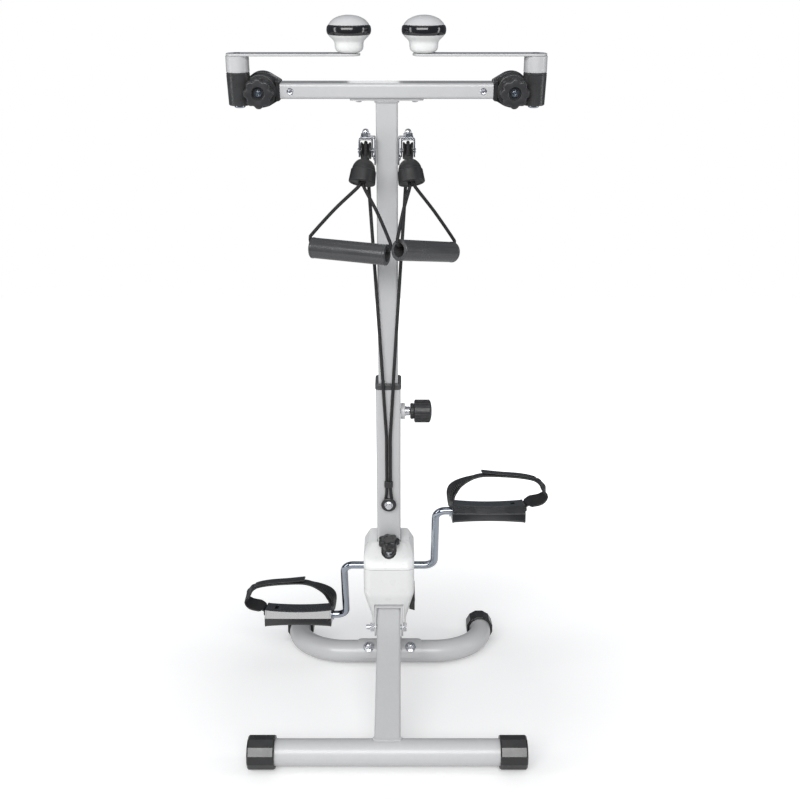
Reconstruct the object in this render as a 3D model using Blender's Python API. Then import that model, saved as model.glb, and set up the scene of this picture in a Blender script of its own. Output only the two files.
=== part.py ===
# Arm and leg exerciser: pedal cranks at the foot of a leaning mast, hand cranks and pull handles at its top.
# Metres, +Z up. The user sits on the -Y side and +X is to the user's right.
# The origin lies on the floor under the middle of the frame.

import math

import bmesh
import bpy
from mathutils import Euler, Matrix, Vector

# Clearances
GAP = 0.0003  # between pieces that rest on, or are fastened to, each other
RUN = 0.0004  # round a shaft that turns or slides in its bore

# Base
BASE_DEPTH = 0.4636
FRONT_WIDTH = 0.399
TUBE_R = 0.019
TUBE_WALL = 0.0015
CAP_R = 0.0235
CAP_WALL = 0.003
FRONT_CAP_LENGTH = 0.039
REAR_CAP_LENGTH = 0.032
REAR_HALF_SPAN = 0.164
REAR_BEND_R = 0.0878  # or less, where the straight ends need the room
REAR_BAR_Y = 0.112
SADDLE_HALF = 0.055
SADDLE_THICK = 0.003
SADDLE_ARC = (math.radians(-7), math.radians(100))
SADDLE_BOLT_X = 0.0378
SADDLE_BOLT_TILT = math.radians(42)
BOLT_R = 0.004

# Front leg, whose bracket bolt is the leg frame's origin
LEG_SLOPE = math.radians(21.8)
LEG_BOLT = (0.0, 0.0152, 0.113)
LEG_TUBE = 0.038
LEG_END = 0.048
BRACKET_SIDE_ROOM = 0.0012
BRACKET_TOP_ROOM = 0.0015
BRACKET_WALL = 0.0032
BRACKET_EAR_R = 0.0145
BRACKET_WEB_START = 0.033

# Mast, in its own frame: x to the right, v square to it and away from the user, s up along it
MAST_LEAN = math.radians(12)
MAST_FOOT = (0.0, 0.1084, 0.045)
OUTER_SIZE = 0.038
OUTER_TOP = 0.4828
INNER_SIZE = 0.030
INNER_LOW = 0.340
INNER_TOP = 0.9072
MAST_WALL = 0.0015
COLLAR_SIZE = 0.040
COLLAR_HEIGHT = 0.0095
COLLAR_SLEEVE = 0.030
PIN_BELOW_TOP = 0.044
PIN_PITCH = 0.025
PIN_R = 0.004
PIN_KNOB_R = 0.018
PIN_SLEEVE_R = 0.0125
PIN_SLEEVE_END = 0.0336
PIN_KNOB_END = 0.0676

# Pedal drive
AXLE_S = 0.1795
SHELL_R = 0.018
SHELL_WALL = 0.002
SHELL_HALF = 0.031
JOURNAL_R = 0.008
DRUM_R = 0.0125
DRUM_HALF = 0.018
BEARING_LENGTH = 0.010
BEARING_FLANGE = 0.0015
ROD_R = 0.006
ROD_BEND_R = 0.015
CRANK_RADIUS = 0.125
CRANK_ARM_X = 0.0735
CRANK_ANGLE = math.radians(27)
ROD_DEPTH = 0.020
PEDAL_IN = 0.098
PEDAL_LENGTH = 0.112
PEDAL_DEPTH = 0.056
PEDAL_THICK = 0.028
PEDAL_DISH = 0.0035
PEDAL_TILT = math.radians(-7)
STRAP_THICK = 0.003
STRAP_WIDTH = 0.028
STRAP_OUT = 0.2475
STRAP_RISE = 0.0575

# Brake, measured from the axle along the mast
SHOE_R = 0.0062
SHOE_LOW = 0.0147
SHOE_THICK = 0.0038
BOSS_R = 0.0085
BOSS_TOP = 0.0225
BOSS_LID = 0.0030
SCREW_R = 0.004
SCREW_TOP = 0.0455
JAM_NUT = (0.0255, 0.0285)
TENSION_NECK = 0.029
TENSION_HEAD = (0.0395, 0.0505)
TENSION_R = 0.0175

# Housing: heights up the mast, half widths, and how far each section reaches ahead of the mast's middle
HOUSING_WALL = 0.0025
HOUSING_BACK = 0.0235
HOUSING_CORNER = 0.013
HOUSING_BACK_CORNER = 0.006
HOUSING_FOOT_S = 0.0600
HOUSING_TAPER_S = 0.0775
HOUSING_FULL_S = 0.1340
HOUSING_BROW_S = 0.1880
HOUSING_CROWN_S = 0.1990
HOUSING_TOP_S = 0.2195
HOUSING_FOOT_HALF = 0.0280
HOUSING_FULL_HALF = 0.0410
HOUSING_TOP_HALF = 0.0310
HOUSING_FOOT_V = -0.0460
HOUSING_TAPER_V = -0.0480
HOUSING_FULL_V = -0.0605
HOUSING_CROWN_V = -0.0505
HOUSING_TOP_V = -0.0215
HOUSING_INSIDE_FOOT = 0.020
KNOB_SLOT_R = 0.0125
COUNTER_S = (0.0960, 0.1290)
COUNTER_V = (-0.0460, -0.0060)
COUNTER_FACE = 0.0424

# T-bar and what it carries
TBAR_HALF = 0.144
TBAR_HEIGHT = 0.0205
TBAR_DEPTH = 0.038
PLATE_THICK = 0.003
PLATE_HALF = 0.050
PLATE_DEPTH = 0.034
PLATE_BOLT_X = 0.0385
PIVOT_X = 0.1705
CLAMP_R = 0.0235
CLAMP_HALF_HEIGHT = 0.016
CLAMP_BLOCK = 0.0032
TONGUE = 0.026
TILT_DISC_R = 0.0215
SOCKET_X = 0.199
SOCKET_V = -0.0168
SOCKET_R = 0.0158
SOCKET_FOOT_R = 0.0146
SOCKET_BELOW = 0.0179
SOCKET_ABOVE = 0.0244
SPINDLE_R = 0.006
SLEEVE_R = 0.0155
SLEEVE_HEIGHT = 0.0211
ARM_THICK = 0.0032
ARM_R = 0.0147
KNOB_X = 0.0495
KNOB_STUB = 0.0295
STAR_R = 0.020
STAR_NECK = 0.0067
STAR_THICK = 0.0193

# Elastic system
PULLEY_X = 0.029
PULLEY_V = -0.020
PULLEY_S = 0.8427
WHEEL_R = 0.0115
WHEEL_GROOVE_R = 0.0080
WHEEL_HALF = 0.0062
WHEEL_PIN_R = 0.0025
CLEVIS_INNER = 0.0079
CLEVIS_WALL = 0.0020
HANGER_S = (0.8241, 0.8620)
HANGER_THICK = 0.002
HANGER_STUD_R = 0.003
CORD_R = 0.0025
ANCHOR_S = 0.286
ANCHOR_DISC_R = 0.012
ANCHOR_BOLT_R = 0.0025
CLIP_S = 0.3211
COLLAR_CORD_X = 0.0075
PULL_TILT = math.radians(15)
STOPPER_REACH = 0.0120
STOPPER_LENGTH = 0.037
STOPPER_R = 0.0184
STOPPER_SPLAY = math.radians(8)
STRAP_CORD_R = 0.0024
GRIP_R = 0.0147
GRIP_BORE_R = 0.0097
GRIP_LENGTH = 0.112
GRIPS = {
    "left": {"centre": (-0.0520, -0.1120, 0.7292), "yaw": math.radians(-19), "dip": math.radians(4)},
    "right": {"centre": (0.0545, -0.1080, 0.7292), "yaw": math.radians(47), "dip": math.radians(4)},
}

# Worked out from the sizes above
FRONT_TUBE_Y = -BASE_DEPTH / 2 + CAP_R
TUBE_Z = CAP_R
LEG_WALL_IN = LEG_TUBE / 2 + BRACKET_SIDE_ROOM
LEG_WALL_OUT = LEG_WALL_IN + BRACKET_WALL
WEB_LOW = LEG_TUBE / 2 + BRACKET_TOP_ROOM
WEB_TOP = WEB_LOW + BRACKET_WALL
OUTER_HALF = OUTER_SIZE / 2
INNER_HALF = INNER_SIZE / 2
AXLE_V = -(OUTER_HALF + GAP + SHELL_R)
PIN_S = OUTER_TOP - PIN_BELOW_TOP
CUT_REACH = 2 * HOUSING_TOP_S  # past every outside face of the housing
HOUSING_LEVELS = (
    (HOUSING_FOOT_S, HOUSING_FOOT_HALF, HOUSING_FOOT_V),
    (HOUSING_TAPER_S, HOUSING_FOOT_HALF, HOUSING_TAPER_V),
    (HOUSING_FULL_S, HOUSING_FULL_HALF, HOUSING_FULL_V),
    (HOUSING_BROW_S, HOUSING_FULL_HALF, HOUSING_FULL_V),
    (HOUSING_CROWN_S, HOUSING_FULL_HALF, HOUSING_CROWN_V),
    (HOUSING_TOP_S, HOUSING_TOP_HALF, HOUSING_TOP_V),
)
PLATE_LOW = INNER_TOP + GAP
TBAR_LOW = PLATE_LOW + PLATE_THICK + GAP
PIVOT_S = TBAR_LOW + TBAR_HEIGHT / 2
SOCKET_TOP = PIVOT_S + SOCKET_ABOVE
SOCKET_LOW = PIVOT_S - SOCKET_BELOW
ARM_LOW = SOCKET_TOP + GAP + SLEEVE_HEIGHT
ARM_TOP = ARM_LOW + ARM_THICK
CORD_PITCH_R = WHEEL_GROOVE_R + GAP + CORD_R
SIDES = {"left": -1, "right": 1}


def clear_scene():
    for obj in list(bpy.data.objects):
        bpy.data.objects.remove(obj, do_unlink=True)


def make_look(name, colour, metallic, roughness):
    look = bpy.data.materials.new(name)
    look.use_nodes = True
    shader = look.node_tree.nodes["Principled BSDF"]
    shader.inputs["Base Color"].default_value = (*colour, 1.0)
    shader.inputs["Metallic"].default_value = metallic
    shader.inputs["Roughness"].default_value = roughness
    return look


def make_frame(name, place, tilt):
    frame = bpy.data.objects.new(name, None)
    frame.location = place
    frame.rotation_euler = (tilt, 0.0, 0.0)
    bpy.context.collection.objects.link(frame)
    return frame


def add_object(name, bm, look=None, parent=None, place=(0, 0, 0), turn=(0, 0, 0)):
    bmesh.ops.recalc_face_normals(bm, faces=bm.faces)
    mesh = bpy.data.meshes.new(name)
    bm.to_mesh(mesh)
    bm.free()
    mesh.shade_smooth()
    mesh.set_sharp_from_angle(angle=math.radians(35))
    obj = bpy.data.objects.new(name, mesh)
    obj.parent = parent
    obj.location = place
    obj.rotation_euler = turn
    if look:
        obj.data.materials.append(look)
    bpy.context.collection.objects.link(obj)
    return obj


def add_tool(name, bm, parent=None, place=(0, 0, 0), turn=(0, 0, 0)):
    # A hidden solid that a Boolean cuts away or joins on
    tool = add_object(name, bm, None, parent, place, turn)
    tool.hide_render = True
    tool.display_type = "WIRE"
    return tool


def combine(target, tool, operation):
    step = target.modifiers.new(tool.name, "BOOLEAN")
    step.operation = operation
    step.solver = "EXACT"
    step.object = tool


def cut(target, tool):
    combine(target, tool, "DIFFERENCE")


def join(target, tool):
    combine(target, tool, "UNION")


def skin(rings, loop=False):
    # Faces between rings of points; a ring of one point is a pole, and open ends get flat caps
    bm = bmesh.new()
    rows = [[bm.verts.new(point) for point in ring] for ring in rings]
    pairs = list(zip(rows, rows[1:]))
    if loop:
        pairs.append((rows[-1], rows[0]))
    for low, high in pairs:
        count = max(len(low), len(high))
        for i in range(count):
            j = (i + 1) % count
            if len(low) == 1:
                bm.faces.new((low[0], high[j], high[i]))
            elif len(high) == 1:
                bm.faces.new((low[i], low[j], high[0]))
            else:
                bm.faces.new((low[i], low[j], high[j], high[i]))
    if not loop:
        for row in (rows[0], rows[-1]):
            if len(row) > 1:
                bm.faces.new(row)
    return bm


def aim(bm, axis):
    # Turns a shape made along +Z so that it points along another axis
    turns = {
        "+x": Matrix.Rotation(math.pi / 2, 3, "Y"),
        "-x": Matrix.Rotation(-math.pi / 2, 3, "Y"),
        "+y": Matrix.Rotation(-math.pi / 2, 3, "X"),
        "-y": Matrix.Rotation(math.pi / 2, 3, "X"),
    }
    if axis in turns:
        bmesh.ops.rotate(bm, verts=bm.verts, cent=(0, 0, 0), matrix=turns[axis])
    return bm


def turned(profile, steps, axis="+z", closed=False, phase=0.0):
    # A profile of radius and height pairs spun about an axis
    bm = bmesh.new()
    verts = [bm.verts.new((radius, 0.0, height)) for radius, height in profile]
    edges = [bm.edges.new(pair) for pair in zip(verts, verts[1:])]
    if closed:
        edges.append(bm.edges.new((verts[-1], verts[0])))
    bmesh.ops.spin(
        bm, geom=verts + edges, axis=(0, 0, 1), cent=(0, 0, 0), dvec=(0, 0, 0),
        angle=math.tau, steps=steps, use_merge=True,
    )
    bmesh.ops.remove_doubles(bm, verts=bm.verts, dist=1e-6)
    bmesh.ops.rotate(bm, verts=bm.verts, cent=(0, 0, 0), matrix=Matrix.Rotation(phase, 3, "Z"))
    return aim(bm, axis)


def bar(radius, low, high, steps, axis="+z", phase=0.0):
    return turned([(0, low), (radius, low), (radius, high), (0, high)], steps, axis, False, phase)


def star_ring(radius, depth, lobes, height, per_lobe=4):
    ring = []
    for i in range(lobes * per_lobe):
        angle = math.tau * i / (lobes * per_lobe)
        reach = radius - depth * (0.5 - 0.5 * math.cos(lobes * angle))
        ring.append((reach * math.cos(angle), reach * math.sin(angle), height))
    return ring


def prism(outline, axis, low, high):
    # An outline in the plane square to an axis, extruded between two heights
    lift = {
        "x": lambda a, b, h: (h, a, b),
        "y": lambda a, b, h: (a, h, b),
        "z": lambda a, b, h: (a, b, h),
    }[axis]
    return skin([[lift(a, b, low) for a, b in outline], [lift(a, b, high) for a, b in outline]])


def box(x, y, z):
    return prism([(x[0], y[0]), (x[1], y[0]), (x[1], y[1]), (x[0], y[1])], "z", z[0], z[1])


def rounded(width, depth, radius, steps=2):
    points = []
    for quarter, (sx, sy) in enumerate(((1, 1), (-1, 1), (-1, -1), (1, -1))):
        for i in range(steps + 1):
            angle = (quarter + i / steps) * math.pi / 2
            x = sx * (width / 2 - radius) + radius * math.cos(angle)
            y = sy * (depth / 2 - radius) + radius * math.sin(angle)
            points.append((x, y))
    return points


def arc(centre, radius, start, stop, steps):
    angles = [start + (stop - start) * i / steps for i in range(steps + 1)]
    return [(centre[0] + radius * math.cos(a), centre[1] + radius * math.sin(a)) for a in angles]


def square_tube(size, wall, corner, low, high):
    outer = rounded(size, size, corner)
    inner = rounded(size - 2 * wall, size - 2 * wall, corner - wall)
    rings = [
        [(x, y, low) for x, y in outer],
        [(x, y, high) for x, y in outer],
        [(x, y, high) for x, y in inner],
        [(x, y, low) for x, y in inner],
    ]
    return skin(rings, loop=True)


def filleted(corners, radius, steps):
    # A path through its corners, each one rounded by an arc
    points = [Vector(corners[0])]
    for before, corner, after in zip(corners, corners[1:], corners[2:]):
        corner = Vector(corner)
        to_back = (Vector(before) - corner).normalized()
        to_front = (Vector(after) - corner).normalized()
        half = to_back.angle(to_front) / 2
        centre = corner + (to_back + to_front).normalized() * radius / math.sin(half)
        start = corner + to_back * radius / math.tan(half) - centre
        stop = corner + to_front * radius / math.tan(half) - centre
        swing = start.angle(stop)
        for i in range(steps + 1):
            points.append(centre + Matrix.Rotation(swing * i / steps, 3, start.cross(stop)) @ start)
    points.append(Vector(corners[-1]))
    return points


def path_rings(path, radius, sides, normal):
    # Rings of points square to a flat path
    rings = []
    for i, point in enumerate(path):
        ahead = path[min(i + 1, len(path) - 1)]
        behind = path[max(i - 1, 0)]
        tangent = (ahead - behind).normalized()
        across = tangent.cross(normal).normalized()
        ring = []
        for k in range(sides):
            angle = math.tau * (k + 0.5) / sides
            ring.append(point + radius * (math.cos(angle) * across + math.sin(angle) * normal))
        rings.append(ring)
    return rings


def bent_tube(path, radius, wall, sides, normal):
    outer = path_rings(path, radius, sides, normal)
    inner = path_rings(path, radius - wall, sides, normal)
    return skin(outer + inner[::-1], loop=True)


def smooth_route(points, spacing):
    # A smooth curve through hand-placed points, sampled about evenly
    route = [Vector(p) for p in points]
    route = [route[0] * 2 - route[1]] + route + [route[-1] * 2 - route[-2]]
    samples = []
    for p0, p1, p2, p3 in zip(route, route[1:], route[2:], route[3:]):
        count = max(1, round((p2 - p1).length / spacing))
        for i in range(count):
            t = i / count
            samples.append(
                0.5 * (2 * p1 + (p2 - p0) * t + (2 * p0 - 5 * p1 + 4 * p2 - p3) * t * t
                       + (3 * p1 - p0 - 3 * p2 + p3) * t ** 3)
            )
    samples.append(route[-2])
    return samples


def cord_object(name, points, radius, look, parent=None):
    curve = bpy.data.curves.new(name, "CURVE")
    curve.dimensions = "3D"
    curve.bevel_depth = radius
    curve.bevel_resolution = 2
    curve.use_fill_caps = True
    spline = curve.splines.new("POLY")
    spline.points.add(len(points) - 1)
    for slot, point in zip(spline.points, points):
        slot.co = (*point, 1.0)
    obj = bpy.data.objects.new(name, curve)
    obj.parent = parent
    curve.materials.append(look)
    bpy.context.collection.objects.link(obj)
    return obj


def mast_to_world(x, v, s):
    return Matrix.Rotation(MAST_LEAN, 3, "X") @ Vector((x, v, s)) + Vector(MAST_FOOT)


def make_base(looks, leg):
    cap_sides = 16
    cap_vertex_r = CAP_R / math.cos(math.pi / cap_sides)
    flat_down = math.pi / cap_sides
    cup_r = (TUBE_R + GAP) / math.cos(math.pi / cap_sides)
    tube_half = FRONT_WIDTH / 2 - CAP_WALL - GAP
    inner_r = TUBE_R - TUBE_WALL
    profile = [(inner_r, -tube_half), (TUBE_R, -tube_half), (TUBE_R, tube_half), (inner_r, tube_half)]
    front = turned(profile, 24, "+x", True)
    add_object("front_stabilizer", front, looks["silver"], None, (0, FRONT_TUBE_Y, TUBE_Z))

    def cap(length, axis):
        chamfer = 0.002
        profile = [
            (0, length), (cap_vertex_r - chamfer, length), (cap_vertex_r, length - chamfer),
            (cap_vertex_r, 0), (cup_r, 0), (cup_r, length - CAP_WALL), (0, length - CAP_WALL),
        ]
        return turned(profile, cap_sides, axis, False, flat_down)

    rear_end = BASE_DEPTH / 2
    for side, sign in SIDES.items():
        place = (sign * (FRONT_WIDTH / 2 - FRONT_CAP_LENGTH), FRONT_TUBE_Y, TUBE_Z)
        front_cap = cap(FRONT_CAP_LENGTH, "+x" if sign > 0 else "-x")
        add_object(f"front_cap_{side}", front_cap, looks["black"], None, place)
        place = (sign * REAR_HALF_SPAN, rear_end - REAR_CAP_LENGTH, TUBE_Z)
        add_object(f"rear_cap_{side}", cap(REAR_CAP_LENGTH, "+y"), looks["black"], None, place)

    tube_end = rear_end - CAP_WALL - GAP
    corners = [
        (-REAR_HALF_SPAN, tube_end, TUBE_Z), (-REAR_HALF_SPAN, REAR_BAR_Y, TUBE_Z),
        (REAR_HALF_SPAN, REAR_BAR_Y, TUBE_Z), (REAR_HALF_SPAN, tube_end, TUBE_Z),
    ]
    bend_r = min(REAR_BEND_R, rear_end - REAR_CAP_LENGTH - REAR_BAR_Y)
    path = filleted(corners, bend_r, 8)
    rear = bent_tube(path, TUBE_R, TUBE_WALL, 20, Vector((0, 0, 1)))
    rear = add_object("rear_stabilizer", rear, looks["silver"])

    saddle_in = TUBE_R + GAP
    saddle_out = saddle_in + SADDLE_THICK
    low, high = SADDLE_ARC
    outline = arc((0, 0), saddle_out, math.pi - low, math.pi - high, 12)
    outline += arc((0, 0), saddle_in, math.pi - high, math.pi - low, 12)
    saddle = prism(outline, "x", -SADDLE_HALF, SADDLE_HALF)
    saddle = add_object("saddle_plate", saddle, looks["silver"], None, (0, REAR_BAR_Y, TUBE_Z))
    bolt_turn = (math.pi / 2 - SADDLE_BOLT_TILT, 0, 0)
    for side, sign in SIDES.items():
        place = (sign * SADDLE_BOLT_X, REAR_BAR_Y, TUBE_Z)
        hole = add_tool(f"cut_saddle_{side}", bar(BOLT_R + GAP, -0.03, 0.03, 12), None, place, bolt_turn)
        cut(rear, hole)
        cut(saddle, hole)
        seat = saddle_out + GAP
        profile = [
            (0, -TUBE_R - 0.0045), (0.0065, -TUBE_R - 0.0045), (0.0065, -TUBE_R - GAP),
            (BOLT_R, -TUBE_R - GAP), (BOLT_R, seat), (0.009, seat), (0.009, seat + 0.0018),
            (0.0072, seat + 0.0018), (0.0072, seat + 0.0085), (0.0058, seat + 0.0120),
            (0.0030, seat + 0.0140), (0, seat + 0.0145),
        ]
        add_object(f"saddle_bolt_{side}", turned(profile, 12), looks["chrome"], None, place, bolt_turn)

    reach = math.hypot(LEG_BOLT[1] - FRONT_TUBE_Y, LEG_BOLT[2] - TUBE_Z)
    post = aim(square_tube(LEG_TUBE, TUBE_WALL, 0.004, -LEG_END, reach), "-y")
    post = add_object("front_post", post, looks["silver"], leg)
    notch = bar(TUBE_R + GAP, -LEG_TUBE, LEG_TUBE, 24, "+x")
    cut(post, add_tool("cut_post_foot", notch, None, (0, FRONT_TUBE_Y, TUBE_Z)))
    bolt_hole = bar(BOLT_R + GAP, -2 * LEG_WALL_OUT, 2 * LEG_WALL_OUT, 12, "+x")
    bolt_hole = add_tool("cut_leg_bolt", bolt_hole, leg)
    cut(post, bolt_hole)
    return bolt_hole


def make_bracket(looks, leg, bolt_hole):
    # The mast's front face, seen from the leg frame
    face_tilt = MAST_LEAN - LEG_SLOPE
    bolt_in_mast = Matrix.Rotation(-MAST_LEAN, 3, "X") @ (Vector(LEG_BOLT) - Vector(MAST_FOOT))
    face_run = (-OUTER_HALF - GAP - bolt_in_mast.y) / math.cos(face_tilt)

    def face_at(p):
        return face_run - p * math.tan(face_tilt)

    outline = arc((0, 0), BRACKET_EAR_R, math.radians(270), math.radians(90), 10)
    outline += [(BRACKET_WEB_START, WEB_TOP), (face_at(WEB_TOP), WEB_TOP)]
    outline += [(face_at(-BRACKET_EAR_R), -BRACKET_EAR_R)]
    bracket = prism(outline, "x", -LEG_WALL_OUT, LEG_WALL_OUT)
    bracket = add_object("leg_bracket", bracket, looks["silver"], leg)
    channel = box((-LEG_WALL_IN, LEG_WALL_IN), (-0.05, 0.10), (-0.05, WEB_LOW))
    cut(bracket, add_tool("cut_channel", channel, leg))
    cut(bracket, bolt_hole)
    head = LEG_WALL_OUT + GAP
    profile = [
        (0, -head - 0.0135), (BOLT_R, -head - 0.0135), (BOLT_R, -head - 0.0065),
        (0.0072, -head - 0.0065), (0.0072, -head), (BOLT_R, -head), (BOLT_R, head), (0.0068, head),
        (0.0068, head + 0.003), (0.005, head + 0.0042), (0, head + 0.0046),
    ]
    add_object("leg_bolt", turned(profile, 12, "+x"), looks["chrome"], leg)


def make_mast(looks, mast):
    outer = square_tube(OUTER_SIZE, MAST_WALL, 0.004, -0.012, OUTER_TOP - GAP)
    outer = add_object("mast_outer_tube", outer, looks["silver"], mast)
    saddle_cut_r = TUBE_R + GAP + SADDLE_THICK + GAP
    foot = bar(saddle_cut_r, -OUTER_SIZE, OUTER_SIZE, 24, "+x")
    cut(outer, add_tool("cut_mast_foot", foot, None, (0, REAR_BAR_Y, TUBE_Z)))
    hole = bar(PIN_R + RUN, OUTER_HALF - 3 * MAST_WALL, OUTER_HALF + MAST_WALL, 12, "+x")
    cut(outer, add_tool("cut_pin", hole, mast, (0, 0, PIN_S)))
    hole = bar(ANCHOR_BOLT_R + GAP, OUTER_HALF - 2 * MAST_WALL, OUTER_HALF + MAST_WALL, 12, "-y")
    cut(outer, add_tool("cut_anchor", hole, mast, (0, 0, ANCHOR_S)))

    bore = INNER_SIZE + 2 * GAP
    sleeve = OUTER_SIZE - 2 * MAST_WALL - 2 * GAP
    rings = []
    for size, corner, height in (
        (COLLAR_SIZE, 0.005, OUTER_TOP), (COLLAR_SIZE, 0.005, OUTER_TOP + COLLAR_HEIGHT - 0.0015),
        (COLLAR_SIZE - 0.003, 0.0035, OUTER_TOP + COLLAR_HEIGHT),
        (bore, 0.0035, OUTER_TOP + COLLAR_HEIGHT), (bore, 0.0035, OUTER_TOP - COLLAR_SLEEVE),
        (sleeve, 0.0026, OUTER_TOP - COLLAR_SLEEVE), (sleeve, 0.0026, OUTER_TOP),
    ):
        rings.append([(x, y, height) for x, y in rounded(size, size, corner)])
    add_object("mast_bushing", skin(rings, loop=True), looks["black"], mast)

    inner = square_tube(INNER_SIZE, MAST_WALL, 0.0035, INNER_LOW, INNER_TOP)
    inner = add_object("mast_inner_tube", inner, looks["silver"], mast)
    for i in range(-2, 5):
        hole = bar(PIN_R + RUN, INNER_HALF - 2 * MAST_WALL, INNER_HALF + MAST_WALL, 10, "+x")
        cut(inner, add_tool(f"cut_height_{i + 2}", hole, mast, (0, 0, PIN_S + i * PIN_PITCH)))

    weld = OUTER_HALF + GAP
    flange = weld + 0.0065
    bore_r = PIN_R + RUN
    profile = [
        (bore_r, weld), (PIN_SLEEVE_R, weld), (PIN_SLEEVE_R, flange), (0.0075, flange),
        (0.0075, PIN_SLEEVE_END), (bore_r, PIN_SLEEVE_END),
    ]
    add_object("pin_sleeve", turned(profile, 16, "+x", True), looks["chrome"], mast, (0, 0, PIN_S))
    tip = INNER_HALF + GAP
    collar = PIN_SLEEVE_END + GAP
    profile = [
        (0, tip), (PIN_R, tip), (PIN_R, collar), (0.0125, collar), (0.0125, collar + 0.006),
        (PIN_KNOB_R - 0.002, collar + 0.006), (PIN_KNOB_R, collar + 0.009),
        (PIN_KNOB_R, PIN_KNOB_END - 0.006), (PIN_KNOB_R - 0.003, PIN_KNOB_END - 0.0015),
        (0.008, PIN_KNOB_END), (0, PIN_KNOB_END),
    ]
    add_object("height_pin", turned(profile, 20, "+x"), looks["black"], mast, (0, 0, PIN_S))


def make_drive(looks, mast):
    axle = (0, AXLE_V, AXLE_S)
    inner_r = SHELL_R - SHELL_WALL
    profile = [(inner_r, -SHELL_HALF), (SHELL_R, -SHELL_HALF), (SHELL_R, SHELL_HALF), (inner_r, SHELL_HALF)]
    shell = add_object("axle_shell", turned(profile, 24, "+x", True), looks["steel"], mast, axle)
    join(shell, add_tool("add_boss", bar(BOSS_R, inner_r + SHELL_WALL / 4, BOSS_TOP, 16), mast, axle))
    cut(shell, add_tool("cut_boss", bar(SHOE_R + GAP, DRUM_R, BOSS_TOP - BOSS_LID, 16), mast, axle))
    cut(shell, add_tool("cut_screw", bar(SCREW_R + RUN, DRUM_R, BOSS_TOP + 0.004, 16), mast, axle))

    bush_r = inner_r - GAP
    flange = SHELL_HALF + GAP
    journal_end = flange + BEARING_FLANGE
    for side, sign in SIDES.items():
        profile = [
            (JOURNAL_R + RUN, SHELL_HALF - BEARING_LENGTH), (bush_r, SHELL_HALF - BEARING_LENGTH),
            (bush_r, flange), (SHELL_R, flange), (SHELL_R, journal_end), (JOURNAL_R + RUN, journal_end),
        ]
        direction = "+x" if sign > 0 else "-x"
        add_object(f"bearing_{side}", turned(profile, 24, direction, True), looks["bronze"], mast, axle)

    rod_bore = ROD_R + GAP
    rod_start = journal_end - ROD_DEPTH
    half = [(0, rod_start - GAP), (rod_bore, rod_start - GAP), (rod_bore, journal_end)]
    half += [(JOURNAL_R, journal_end), (JOURNAL_R, DRUM_HALF), (DRUM_R, DRUM_HALF)]
    profile = half + [(radius, -height) for radius, height in half[::-1]]
    add_object("crank_axle", turned(profile, 24, "+x"), looks["steel"], mast, axle)

    world_axle = mast_to_world(*axle)
    for side, sign in SIDES.items():
        angle = CRANK_ANGLE if sign > 0 else CRANK_ANGLE + math.pi
        corners = [
            (sign * rod_start, 0, 0), (sign * CRANK_ARM_X, 0, 0), (sign * CRANK_ARM_X, 0, CRANK_RADIUS),
            (sign * (PEDAL_IN + PEDAL_LENGTH - 0.005), 0, CRANK_RADIUS),
        ]
        rod = skin(path_rings(filleted(corners, ROD_BEND_R, 5), ROD_R, 12, Vector((0, 1, 0))))
        add_object(f"{side}_crank", rod, looks["chrome"], None, world_axle, (angle, 0, 0))
        spindle = world_axle + Euler((angle, 0, 0)).to_matrix() @ Vector((0, 0, CRANK_RADIUS))
        make_pedal(looks, side, sign, spindle)

    shoe = bar(SHOE_R, SHOE_LOW, SHOE_LOW + SHOE_THICK, 16)
    add_object("brake_shoe", shoe, looks["rubber"], mast, axle)
    screw_low = SHOE_LOW + SHOE_THICK + GAP
    profile = [
        (0, screw_low), (SCREW_R, screw_low), (SCREW_R, JAM_NUT[0]), (0.0065, JAM_NUT[0]),
        (0.0065, JAM_NUT[1]), (SCREW_R, JAM_NUT[1]), (SCREW_R, SCREW_TOP), (0, SCREW_TOP),
    ]
    add_object("tension_screw", turned(profile, 12), looks["chrome"], mast, axle)
    bore_r = SCREW_R + GAP
    low, high = TENSION_HEAD
    rings = [
        [(0, 0, SCREW_TOP + GAP)],
        star_ring(bore_r, 0, 7, SCREW_TOP + GAP), star_ring(bore_r, 0, 7, TENSION_NECK),
        star_ring(0.0085, 0, 7, TENSION_NECK), star_ring(0.0098, 0, 7, low - 0.001),
        star_ring(TENSION_R - 0.001, 0.003, 7, low), star_ring(TENSION_R, 0.003, 7, low + 0.0015),
        star_ring(TENSION_R, 0.003, 7, high - 0.003), star_ring(TENSION_R - 0.0035, 0.0025, 7, high),
        [(0, 0, high)],
    ]
    add_object("tension_knob", skin(rings), looks["black"], mast, axle)


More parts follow.
